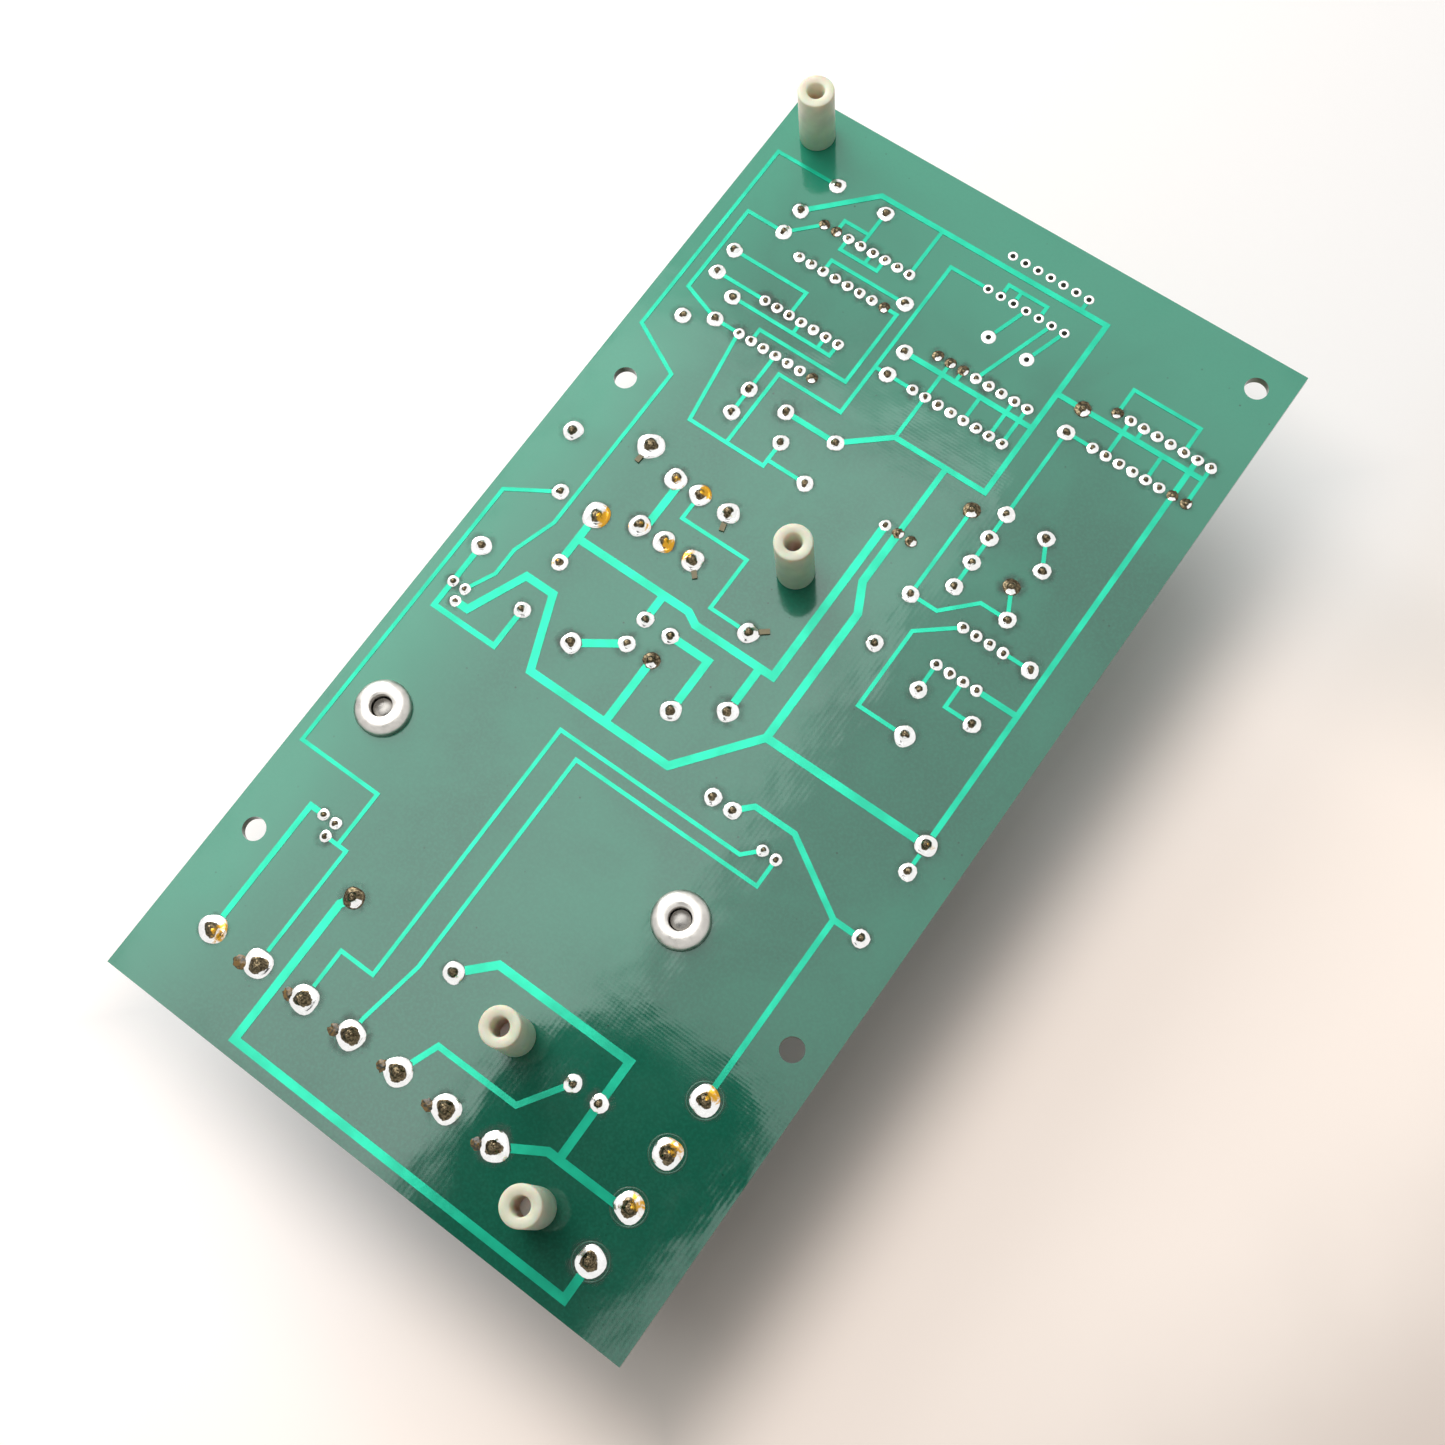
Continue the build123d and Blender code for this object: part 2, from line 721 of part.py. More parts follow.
def barrier_strip(name, ways, plane):
    """Moulded terminal strip: a base with a barrier between each two ways."""
    with BuildPart() as strip:
        with BuildSketch(plane.offset(strip_rise)):
            with Locations((0, strip_offset)):
                Rectangle(ways * way_pitch + barrier_thickness, strip_depth)
        extrude(amount=strip_base)
        with BuildSketch(plane.offset(strip_rise + strip_base)):
            with Locations((0, strip_offset)):
                with GridLocations(way_pitch, 0, ways + 1, 1):
                    Rectangle(barrier_thickness, strip_depth)
        extrude(amount=barrier_height)
    save(strip, name)


seven_way_plane = Plane(
    origin=(*at(seven_way_middle, seven_way_row), board_under), x_dir=(1, 0, 0), z_dir=(0, 0, -1)
)
four_way_plane = Plane(
    origin=(*at(four_way_column, four_way_middle), board_under), x_dir=(0, 1, 0), z_dir=(0, 0, -1)
)
barrier_strip("seven_way_terminal", 7, seven_way_plane)
barrier_strip("four_way_terminal", 4, four_way_plane)
strips = [(7, seven_way_plane), (4, four_way_plane)]

clamp_level = strip_rise + strip_base
with BuildPart() as terminal_clamps:
    for ways, plane in strips:
        with BuildSketch(plane.offset(clamp_level)):
            with Locations((0, strip_offset + clamp_offset)):
                with GridLocations(way_pitch, 0, ways, 1):
                    Rectangle(clamp_width, clamp_depth)
        extrude(amount=clamp_thickness)
save(terminal_clamps, "terminal_clamps")

with BuildPart() as terminal_screws:
    for ways, plane in strips:
        with BuildSketch(plane.offset(clamp_level + clamp_thickness)):
            with Locations((0, strip_offset + clamp_offset)):
                with GridLocations(way_pitch, 0, ways, 1):
                    RegularPolygon(clamp_screw / 2, hidden_sides)
        extrude(amount=clamp_screw_height)
save(terminal_screws, "terminal_screws")

with BuildPart() as terminal_pins:
    with BuildSketch(parts_face):
        with Locations(*[under(*pad) for pad in seven_way_pads + four_way_pads]):
            Rectangle(terminal_pin, terminal_pin)
    extrude(amount=strip_rise)
save(terminal_pins, "terminal_pins")


def axial_line(pair):
    """Middle, direction and pad spacing of a part that lies between two pads."""
    start = Vector(*at(*pair[0]), board_under)
    end = Vector(*at(*pair[1]), board_under)
    return (start + end) / 2, (end - start).normalized(), (end - start).length


def axial_body(name, pair, diameter, length):
    """Body lying along the line between its two pads: round, or many-sided if small."""
    middle, direction, spacing = axial_line(pair)
    centre = middle - Vector(0, 0, diameter / 2 + body_gap)
    with BuildPart() as body:
        with BuildSketch(Plane(origin=centre, z_dir=direction)):
            if diameter > small_body:
                Circle(diameter / 2)
            else:
                RegularPolygon(diameter / 2, hidden_sides)
        extrude(amount=length / 2, both=True)
    save(body, name)


def axial_leads(pair, diameter, length, thickness):
    """Both bent leads of a lying part, from the body's ends out and up to the board."""
    middle, direction, spacing = axial_line(pair)
    reach = (spacing - length) / 2
    drop = diameter / 2 + body_gap
    with BuildPart() as leads:
        for side in (-1, 1):
            outward = direction * side
            pad = middle + outward * (spacing / 2)
            bend = Plane(origin=pad, x_dir=outward, z_dir=outward.cross(Vector(0, 0, -1)))
            with BuildSketch(bend):
                with BuildLine():
                    Polyline((0, 0), (0, drop), (-reach, drop))
                trace(line_width=thickness)
            extrude(amount=thickness / 2, both=True)
    return leads.part


for index, pair in enumerate(resistors, 1):
    axial_body(f"resistor_{index}", pair, resistor_diameter, resistor_length)
for name, (start, end, diameter, length) in axials.items():
    axial_body(name, (start, end), diameter, length)

thin_leads = [axial_leads(pair, resistor_diameter, resistor_length, wire) for pair in resistors]
with BuildPart() as resistor_leads:
    add(thin_leads)
save(resistor_leads, "resistor_leads")

thick_leads = [
    axial_leads((start, end), diameter, length, thick_wire)
    for start, end, diameter, length in axials.values()
]
with BuildPart() as axial_part_leads:
    add(thick_leads)
save(axial_part_leads, "axial_part_leads")

# Radial capacitors stand on two straight leads.
for index, (start, end, thickness, height) in enumerate(capacitors, 1):
    middle, direction, spacing = axial_line((start, end))
    seat = Plane(origin=middle, x_dir=direction, z_dir=(0, 0, -1))
    with BuildPart() as capacitor:
        with BuildSketch(seat.offset(radial_rise)):
            Rectangle(spacing + 2 * radial_margin, thickness)
        extrude(amount=height)
        chamfer(capacitor.edges().filter_by(Axis.Z), edge_bevel)
    save(capacitor, f"capacitor_{index}")

# Three-lead transistors with a flat front.
for name, trio in transistors.items():
    x = sum(at(*pad)[0] for pad in trio) / 3
    y = sum(at(*pad)[1] for pad in trio) / 3
    with BuildPart() as transistor:
        body_face = (x, y, board_under - transistor_rise)
        with BuildSketch(Plane(origin=body_face, x_dir=(1, 0, 0), z_dir=(0, 0, -1))):
            RegularPolygon(transistor_diameter / 2, single_sides)
            with Locations((0, transistor_diameter - transistor_flat / 2)):
                Rectangle(transistor_diameter, transistor_diameter, mode=Mode.SUBTRACT)
        extrude(amount=transistor_height)
    save(transistor, name)

radial_pads = [pad for part in capacitors for pad in part[:2]]
with BuildPart() as radial_leads:
    with BuildSketch(parts_face):
        with Locations(*[under(*pad) for pad in radial_pads]):
            Rectangle(wire, wire)
    extrude(amount=radial_rise)
    with BuildSketch(parts_face):
        with Locations(*[under(*pad) for trio in transistors.values() for pad in trio]):
            Rectangle(wire, wire)
    extrude(amount=transistor_rise)
    with BuildSketch(parts_face):
        with Locations(*[under(*pad) for pad in bridge_pads]):
            Rectangle(bridge_lead, bridge_lead)
    extrude(amount=bridge_rise)
save(radial_leads, "radial_leads")
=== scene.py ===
import bmesh
import bpy
import numpy as np
from mathutils import Matrix, Vector


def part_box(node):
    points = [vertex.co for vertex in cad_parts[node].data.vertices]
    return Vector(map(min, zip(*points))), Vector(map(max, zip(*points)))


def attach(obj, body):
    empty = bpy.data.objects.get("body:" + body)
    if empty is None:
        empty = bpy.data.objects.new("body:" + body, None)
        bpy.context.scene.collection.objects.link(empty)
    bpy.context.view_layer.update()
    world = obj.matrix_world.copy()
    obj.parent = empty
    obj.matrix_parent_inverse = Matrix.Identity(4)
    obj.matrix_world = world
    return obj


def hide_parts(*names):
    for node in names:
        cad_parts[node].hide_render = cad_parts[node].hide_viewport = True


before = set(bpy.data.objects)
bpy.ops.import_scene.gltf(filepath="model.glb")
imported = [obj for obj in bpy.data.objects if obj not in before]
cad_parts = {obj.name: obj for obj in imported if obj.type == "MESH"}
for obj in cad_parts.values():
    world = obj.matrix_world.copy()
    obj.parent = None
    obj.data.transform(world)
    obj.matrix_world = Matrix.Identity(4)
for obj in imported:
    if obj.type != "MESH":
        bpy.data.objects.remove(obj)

bl_info = {
    "name": "Control Board Looks",
    "version": (1, 0, 0),
    "blender": (4, 5, 0),
    "location": "View3D > Sidebar > Board",
    "description": "Finishes and fine forms for a control board seen from its solder side",
    "category": "Object",
}

MM = 0.001
PITCH = 2.54 * MM
MIDDLE_COLUMN = 12.8
MIDDLE_ROW = 34.55
BOARD_TOP = float(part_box("circuit_board")[1][2])
BOARD_REACH_X = float(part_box("circuit_board")[1][0])
BOARD_REACH_Y = float(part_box("circuit_board")[1][1])
SEED = 41

# Terminal joints: their least half width, and the rows and columns on which they start.
TERMINAL_HALF = 2.2 * MM
TERMINALS_FROM_ROW = 57
SEVEN_WAY_FROM_ROW = 66
FOUR_WAY_FROM_COLUMN = 25

# Camera solved from the photograph: its place in millimetres, and the picture's right and up.
CAMERA_PLACE = (68.642, -61.323, 309.941)
PICTURE_RIGHT = (0.806875, 0.586179, -0.073147)
PICTURE_UP = (-0.545915, 0.787237, 0.286778)
SENSOR_WIDTH = 36

# Lamps: name, size, place, the property that holds the power, and whether it aims at the board.
LAMPS = (
    ("window", (0.42, 0.77), (-0.15, 0.135, 0.70), "key_strength", False),
    ("window_side", (0.30, 0.53), (-0.25, 0.065, 0.71), "side_strength", False),
    ("window_left", (0.50, 0.60), (-0.62, 0.28, 0.46), "left_strength", True),
)

# Joints painted dark all over, partly dull solder and partly a painted reflection of the dark surroundings:
# column and row.
DULL_AND_REFLECTING_JOINTS = [
    (0, 5), (1, 5), (7, 8), (12, 9), (13, 9), (14, 9), (24, 6), (17, 21), (18, 21),
    (30, 9), (31, 9), (6, 15), (20, 17), (3, 60), (9, 37), (25, 20), (22, 7),
]

# Joints with amber flux: column, row, strength and its side in degrees from the board's short side.
AMBER_JOINTS = [
    (0, 31, 1.0, 20), (4.8, 26, 1.0, 60), (4.8, 30, 0.9, -20), (7.1, 30, 0.7, 170),
    (2.8, 26, 0.5, -40), (2.8, 30, 0.5, 20), (0, 33, 0.6, 180), (28, 57.2, 0.7, 70),
    (28, 60.95, 0.7, 60), (28, 64.7, 0.7, 60), (-3.05, 66.63, 0.7, 10), (0, 35, 0.6, 180),
    (21.5, 44, 0.5, 90), (30, 37, 0.4, 20),
]


# Properties

class BoardColours(bpy.types.PropertyGroup):
    """Colours of the board's finishes, as linear values."""

    mask: bpy.props.FloatVectorProperty(
        name="Mask", description="Green mask over bare laminate", subtype="COLOR",
        size=3, default=(0.010, 0.150, 0.090))
    track: bpy.props.FloatVectorProperty(
        name="Track", description="Green mask over copper", subtype="COLOR",
        size=3, default=(0.010, 0.500, 0.300))
    edge: bpy.props.FloatVectorProperty(
        name="Edge", description="Cut edge of the laminate", subtype="COLOR",
        size=3, default=(0.170, 0.200, 0.130))
    solder: bpy.props.FloatVectorProperty(
        name="Solder", description="Bright solder", subtype="COLOR",
        size=3, default=(0.970, 0.960, 0.940))
    # Partly dull solder and partly a painted reflection of the dark surroundings above the board.
    dull_and_reflected_solder: bpy.props.FloatVectorProperty(
        name="Dull solder", description="Solder darkened by flux and the cut lead", subtype="COLOR",
        size=3, default=(0.100, 0.078, 0.046))
    flux: bpy.props.FloatVectorProperty(
        name="Flux", description="Amber flux left on the joints", subtype="COLOR",
        size=3, default=(0.640, 0.330, 0.030))
    stain: bpy.props.FloatVectorProperty(
        name="Stain", description="Flux film on the mask round the joints", subtype="COLOR",
        size=3, default=(0.020, 0.050, 0.030))
    nylon: bpy.props.FloatVectorProperty(
        name="Nylon", description="Natural nylon of the standoffs", subtype="COLOR",
        size=3, default=(0.735, 0.750, 0.590))
    steel: bpy.props.FloatVectorProperty(
        name="Steel", description="Plated steel of nuts and screws", subtype="COLOR",
        size=3, default=(0.665, 0.635, 0.590))
    black: bpy.props.FloatVectorProperty(
        name="Black", description="Moulded black plastic", subtype="COLOR",
        size=3, default=(0.022, 0.022, 0.024))


class BoardSizes(bpy.types.PropertyGroup):
    """Sizes of the fine forms that the finishes add."""

    weave_pitch: bpy.props.FloatProperty(
        name="Weave pitch", description="Spacing of the glass yarns under the mask",
        default=0.82 * MM, unit="LENGTH")
    halo_reach: bpy.props.FloatProperty(
        name="Halo reach", description="Width of the flux film outside a joint",
        default=1.1 * MM, unit="LENGTH")
    film_lift: bpy.props.FloatProperty(
        name="Film lift", description="Height of the flux film over the mask",
        default=0.012 * MM, unit="LENGTH")
    standoff_edge: bpy.props.FloatProperty(
        name="Standoff edge", description="Rounding of the standoffs' rims",
        default=0.22 * MM, unit="LENGTH")


class BoardStage(bpy.types.PropertyGroup):
    """Camera, light and floor."""

    focal_length: bpy.props.FloatProperty(
        name="Focal length", description="Lens in millimetres on a 36 mm sensor", default=43.35)
    key_strength: bpy.props.FloatProperty(
        name="Key strength", description="Power of the window light in watts", default=1.65)
    side_strength: bpy.props.FloatProperty(
        name="Side strength", description="Power of the light beside the window in watts", default=0.88)
    left_strength: bpy.props.FloatProperty(
        name="Left strength", description="Power of the low light at the left in watts", default=4.2)
    fill_strength: bpy.props.FloatProperty(
        name="Fill strength", description="World light on matt surfaces", default=0.24)


# Meshes

def put_mesh(name, points, faces, smooth=True):
    """New mesh object from an array of points and one or more arrays of face corners."""
    mesh = bpy.data.meshes.new(name)
    corners = [face for group in faces for face in group.tolist()]
    mesh.from_pydata(points.reshape(-1, 3).tolist(), [], corners)
    mesh.polygons.foreach_set("use_smooth", np.full(len(mesh.polygons), smooth))
    mesh.update()
    piece = bpy.data.objects.new(name, mesh)
    bpy.context.scene.collection.objects.link(piece)
    return piece


def put_attribute(piece, name, values):
    """One value for each point, which a finish reads by its name."""
    layer = piece.data.attributes.new(name, "FLOAT", "POINT")
    layer.data.foreach_set("value", np.ascontiguousarray(values, dtype=np.float32).ravel())


def ring_faces(rings, around, copies=1, close_end=False):
    """Quads between rings of points, for several copies, with a fan to a last pole."""
    ring = np.arange(rings - 1)[:, None] * around
    step = np.arange(around)[None, :]
    after = (step + 1) % around
    quads = np.stack([ring + step, ring + after, ring + around + after, ring + around + step], -1)
    quads = quads.reshape(-1, 4)
    size = rings * around + close_end
    shift = (np.arange(copies) * size)[:, None, None]
    groups = [(quads[None] + shift).reshape(-1, 4)]
    if close_end:
        last = (rings - 1) * around
        pole = np.full(around, rings * around)
        fan = np.stack([last + step[0], last + after[0], pole], -1)
        groups.append((fan[None] + shift).reshape(-1, 3))
    return groups


def islands(node):
    """Middle, half width, lowest and highest level of each separate solid of a node.

    Points that coincide are joined, then each triangle passes on the lowest label of its
    corners until every solid has one label.
    """
    weld = 0.002 * MM
    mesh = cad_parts[node].data
    mesh.calc_loop_triangles()
    points = np.empty(len(mesh.vertices) * 3, dtype=np.float32)
    mesh.vertices.foreach_get("co", points)
    points = points.reshape(-1, 3).astype(float)
    corners = np.empty(len(mesh.loop_triangles) * 3, dtype=np.int32)
    mesh.loop_triangles.foreach_get("vertices", corners)
    keys, same = np.unique(np.round(points / weld).astype(int), axis=0, return_inverse=True)
    corners = same.ravel()[corners].reshape(-1, 3)
    labels = np.arange(len(keys))
    while True:
        lowest = labels[corners].min(axis=1)
        passed = labels.copy()
        np.minimum.at(passed, corners.ravel(), np.repeat(lowest, 3))
        if (passed == labels).all():
            break
        labels = passed
    point_labels = labels[same.ravel()]
    solids = []
    for label in np.unique(point_labels):
        own = points[point_labels == label]
        low = own.min(axis=0)
        high = own.max(axis=0)
        solids.append([*(low + high) / 2, *(high - low) / 2, low[2], high[2]])
    solids = np.array(solids)
    order = np.lexsort((np.round(solids[:, 0], 5), np.round(solids[:, 1], 5)))
    return solids[order]


def grid_place(points):
    """Column and row on the pad grid of each point."""
    return np.stack([points[:, 0] / PITCH + MIDDLE_COLUMN, MIDDLE_ROW - points[:, 1] / PITCH], -1)


def near_places(places, listed, reach=0.35):
    """Which of the grid places lie within reach of one of the listed places."""
    listed = np.array(listed, dtype=float)
    gap = np.linalg.norm(places[:, None] - listed[None], axis=2)
    return (gap < reach).any(axis=1)


def per_solid(values):
    """One value for each solid, ready to meet values for rings and points."""
    return np.asarray(values)[:, None, None]


def per_ring(values):
    """One value for each ring, ready to meet values for solids and points."""
    return np.asarray(values)[None, :, None]


def centres_at(solids, level):
    """Middles of the solids, all at one level."""
    centres = solids[:, :3].copy()
    centres[:, 2] = level
    return centres


def turned(name, centres, profile, around=48, closed=True):
    """Turned form: each ring is a circle of the profile's radius at the profile's level.

    The profile is a list of radius and level, and its last ring meets its first when closed.
    """
    angle = np.linspace(0, 2 * np.pi, around, endpoint=False)
    radii, levels = np.array(profile, dtype=float).T
    rings = len(radii)
    x = per_solid(centres[:, 0]) + per_ring(radii) * np.cos(angle)
    y = per_solid(centres[:, 1]) + per_ring(radii) * np.sin(angle)
    z = np.broadcast_to(per_solid(centres[:, 2]) + per_ring(levels), x.shape)
    points = np.stack([x, y, z], -1)
    faces = ring_faces(rings, around, len(centres))
    if closed:
        step = np.arange(around)
        after = (step + 1) % around
        last = (rings - 1) * around
        seam = np.stack([last + step, last + after, after, step], -1)
        shift = per_solid(np.arange(len(centres)) * rings * around)
        faces.append((seam[None] + shift).reshape(-1, 4))
    piece = put_mesh(name, points, faces)
    face_outwards(piece)
    return piece


def face_outwards(piece):
    """Turns all faces of a closed form outwards."""
    form = bmesh.new()
    form.from_mesh(piece.data)
    bmesh.ops.recalc_face_normals(form, faces=form.faces)
    form.to_mesh(piece.data)
    form.free()


# Finishes

class Finish:
    """A procedural material being wired: a principled shader and what feeds it."""

    def __init__(self, name):
        self.material = bpy.data.materials.new(name)
        self.material.use_nodes = True
        self.tree = self.material.node_tree
        self.tree.nodes.clear()
        self.shader = self.tree.nodes.new("ShaderNodeBsdfPrincipled")
        out = self.tree.nodes.new("ShaderNodeOutputMaterial")
        self.tree.links.new(self.shader.outputs[0], out.inputs["Surface"])
        self.place = self.tree.nodes.new("ShaderNodeTexCoord").outputs["Object"]

    def constant(self, **values):
        """Sets plain values on the shader's own sockets."""
        for key, value in values.items():
            socket = self.shader.inputs[key.replace("_", " ")]
            if hasattr(value, "__len__"):
                socket.default_value = (*value[:3], 1)
            else:
                socket.default_value = value

    def link(self, source, socket):
        """Feeds a shader socket."""
        self.tree.links.new(source, self.shader.inputs[socket])

    def feed(self, node, socket, source):
        """Feeds a node's socket with a link or a plain value."""
        if isinstance(source, bpy.types.NodeSocket):
            self.tree.links.new(source, node.inputs[socket])
        elif hasattr(source, "__len__"):
            value = tuple(source)
            node.inputs[socket].default_value = value + (1,) if len(value) == 3 else value
        else:
            node.inputs[socket].default_value = source

    def noise(self, size, detail=2.0, rough=0.5, warp=0.0):
        """Soft random cloud with features of about the given size in metres."""
        node = self.tree.nodes.new("ShaderNodeTexNoise")
        self.tree.links.new(self.place, node.inputs["Vector"])
        node.inputs["Scale"].default_value = 1 / size
        node.inputs["Detail"].default_value = detail
        node.inputs["Roughness"].default_value = rough
        node.inputs["Distortion"].default_value = warp
        return node.outputs["Fac"]

    def wave(self, size, direction="X", warp=0.0):
        """Even ridges across one axis."""
        node = self.tree.nodes.new("ShaderNodeTexWave")
        node.bands_direction = direction
        self.tree.links.new(self.place, node.inputs["Vector"])
        node.inputs["Scale"].default_value = 0.314 / size
        node.inputs["Distortion"].default_value = warp
        return node.outputs["Fac"]

    def spots(self, size):
        """Distance to the nearest of random points about the given size apart."""
        node = self.tree.nodes.new("ShaderNodeTexVoronoi")
        self.tree.links.new(self.place, node.inputs["Vector"])
        node.inputs["Scale"].default_value = 1 / size
        return node.outputs["Distance"]

    def attribute(self, name):
        """Value kept on the piece's points."""
        node = self.tree.nodes.new("ShaderNodeAttribute")
        node.attribute_name = name
        return node.outputs["Fac"]

    def facing(self, axis="Z"):
        """How far the surface faces along one axis."""
        geometry = self.tree.nodes.new("ShaderNodeNewGeometry")
        split = self.tree.nodes.new("ShaderNodeSeparateXYZ")
        self.tree.links.new(geometry.outputs["Normal"], split.inputs[0])
        return split.outputs[axis]

    def axis(self, name):
        """One of the object's own coordinates."""
        split = self.tree.nodes.new("ShaderNodeSeparateXYZ")
        self.tree.links.new(self.place, split.inputs[0])
        return split.outputs[name]

    def between(self, value, low, high, out_low=0.0, out_high=1.0):
        """Value mapped smoothly from one range to another."""
        node = self.tree.nodes.new("ShaderNodeMapRange")
        node.interpolation_type = "SMOOTHSTEP"
        self.feed(node, "Value", value)
        node.inputs["From Min"].default_value = low
        node.inputs["From Max"].default_value = high
        node.inputs["To Min"].default_value = out_low
        node.inputs["To Max"].default_value = out_high
        return node.outputs[0]

    def math(self, kind, first, second=0.0):
        """One sum."""
        node = self.tree.nodes.new("ShaderNodeMath")
        node.operation = kind
        self.feed(node, 0, first)
        self.feed(node, 1, second)
        return node.outputs[0]

    def mix(self, share, first, second):
        """Blend of two colours."""
        node = self.tree.nodes.new("ShaderNodeMix")
        node.data_type = "RGBA"
        self.feed(node, 0, share)
        self.feed(node, 6, first)
        self.feed(node, 7, second)
        return node.outputs[2]

    def mottled(self, tone, colour, dark, light):
        """Colour that wanders between a darker and a lighter shade as a cloud does."""
        return self.mix(self.between(tone, 0.3, 0.7), shade(colour, dark), shade(colour, light))

    def bump(self, height, depth):
        """Relief of the given depth in metres."""
        node = self.tree.nodes.new("ShaderNodeBump")
        self.tree.links.new(height, node.inputs["Height"])
        node.inputs["Distance"].default_value = depth
        self.tree.links.new(node.outputs[0], self.shader.inputs["Normal"])


def shade(colour, factor):
    """Lighter or darker version of a colour."""
    return tuple(min(1.0, channel * factor) for channel in colour)


def dress(material, *names):
    """Gives a finish to CAD nodes."""
    for name in names:
        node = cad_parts[name]
        node.data.materials.clear()
        node.data.materials.append(material)


def add_piece(piece, material, slot, *replaced):
    """Rides a new piece on the part's one body, with its finish, and hides the replaced nodes; its slot is
    not used.
    """
    piece.data.materials.append(material)
    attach(piece, "root")
    if replaced:
        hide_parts(*replaced)
    return piece


def mask_finish(colours, sizes):
    """Glossy green mask: painted light makes it paler towards the left and upper edges, where light comes up
    through the laminate's lit edges, and painted shade makes it darker towards the lower right.

    Blotches, fine grain and dark specks vary the tone, and glass weave and a slow swell
    stand in the relief.
    """
    blotch_size = 26 * MM
    grain_size = 0.5 * MM
    speck_spacing = 2.1 * MM
    wander_reach = 30 * MM
    painted_light_tone = 1.75
    painted_shade_tone = 0.72
    grain_tone = 1.5
    speck_tone = 0.18
    weave_share = 0.07
    swell_share = 12.0
    look = Finish("green_mask")
    blotch = look.noise(blotch_size, detail=3, rough=0.55, warp=0.4)
    grain = look.noise(grain_size, detail=2)
    specks = look.spots(speck_spacing)
    sparse = look.noise(9 * MM, detail=2)
    wander = look.math("MULTIPLY", look.math("SUBTRACT", blotch, 0.5), wander_reach)
    # Painted light: the mask is paler towards the left and upper edges, standing in for light that comes up
    # through the laminate.
    left = look.between(look.math("ADD", look.axis("X"), wander), -28 * MM, -52 * MM)
    upper = look.between(look.math("ADD", look.axis("Y"), wander), 45 * MM, 98 * MM)
    painted_glow = look.math("MAXIMUM", left, upper)
    # Painted shade: the mask is darker towards the lower right.
    lower = look.math("SUBTRACT", look.math("MULTIPLY", look.axis("X"), 0.6), look.axis("Y"))
    painted_shade_side = look.between(lower, 45 * MM, 100 * MM)
    base = look.mottled(blotch, colours.mask, 0.84, 1.18)
    base = look.mix(painted_glow, base, shade(colours.mask, painted_light_tone))
    base = look.mix(painted_shade_side, base, shade(colours.mask, painted_shade_tone))
    base = look.mix(look.between(grain, 0.35, 0.75, 0.0, 0.25), base, shade(colours.mask, grain_tone))
    dark = look.math("MULTIPLY", look.between(specks, 0.05, 0.11, 1, 0), look.between(sparse, 0.50, 0.68))
    base = look.mix(look.math("MULTIPLY", dark, 0.7), base, shade(colours.mask, speck_tone))
    side = look.between(look.math("ABSOLUTE", look.facing("Z")), 0.4, 0.6)
    edge = look.mottled(look.noise(3 * MM, detail=3), colours.edge, 0.65, 1.2)
    look.link(look.mix(side, edge, base), "Base Color")
    rough = look.between(look.noise(14 * MM, detail=3), 0.3, 0.7, 0.06, 0.12)
    look.link(rough, "Roughness")
    look.constant(IOR=1.5, Metallic=0.05)
    warp_yarns = look.wave(sizes.weave_pitch, "X", 0.4)
    weft_yarns = look.wave(sizes.weave_pitch * 0.7, "Y", 0.4)
    weave = look.math("ADD", warp_yarns, weft_yarns)
    peel = look.noise(2.6 * MM, detail=2, rough=0.45)
    swell = look.noise(13 * MM, detail=2, rough=0.5)
    relief = look.math("ADD", look.math("MULTIPLY", weave, weave_share), peel)
    relief = look.math("ADD", relief, look.math("MULTIPLY", swell, swell_share))
    look.bump(relief, 0.012 * MM)
    return look.material


def track_finish(colours):
    """Copper seen through the mask: bright aqua with a slight metal sheen."""
    look = Finish("masked_copper")
    tone = look.noise(5 * MM, detail=3)
    base = look.mottled(tone, colours.track, 0.86, 1.12)
    # Painted shade: the track's sides are darker than its top.
    side = look.between(look.facing("Z"), 0.5, 0.9)
    look.link(look.mix(side, shade(colours.track, 0.35), base), "Base Color")
    look.constant(Metallic=0.32, Roughness=0.20, IOR=1.5, Specular_IOR_Level=0.25)
    peel = look.noise(1.6 * MM, detail=2)
    look.bump(peel, 0.014 * MM)
    return look.material


def solder_finish(colours):
    """Bright solder with a brown film on its dark lead ends, partly dull solder and partly a painted
    reflection of the dark surroundings, and amber flux where its points say.
    """
    look = Finish("bright_solder")
    tone = look.noise(0.9 * MM, detail=3, warp=0.8)
    dull = look.attribute("dull")
    amber = look.attribute("amber")
    base = look.mix(look.between(tone, 0.3, 0.8), shade(colours.solder, 0.90), colours.solder)
    # Painted reflection: the dark brown patch on lead ends and listed joints stands partly for dull solder
    # and partly for the dark surroundings mirrored in the domes.
    patch = look.between(look.math("ADD", dull, look.between(tone, 0.2, 0.8, -0.2, 0.2)), 0.42, 0.58)
    crust = look.between(look.noise(0.35 * MM, detail=2), 0.35, 0.7)
    brown = look.mix(crust, shade(colours.dull_and_reflected_solder, 0.45), shade(colours.dull_and_reflected_solder, 1.9))
    base = look.mix(patch, base, brown)
    spread = look.between(look.math("ADD", amber, look.between(tone, 0.2, 0.8, -0.3, 0.3)), 0.35, 0.75)
    base = look.mix(spread, base, colours.flux)
    look.link(base, "Base Color")
    look.constant(Metallic=1.0)
    look.link(look.between(tone, 0.3, 0.7, 0.12, 0.26), "Roughness")
    look.bump(look.noise(0.45 * MM, detail=2), 0.012 * MM)
    return look.material


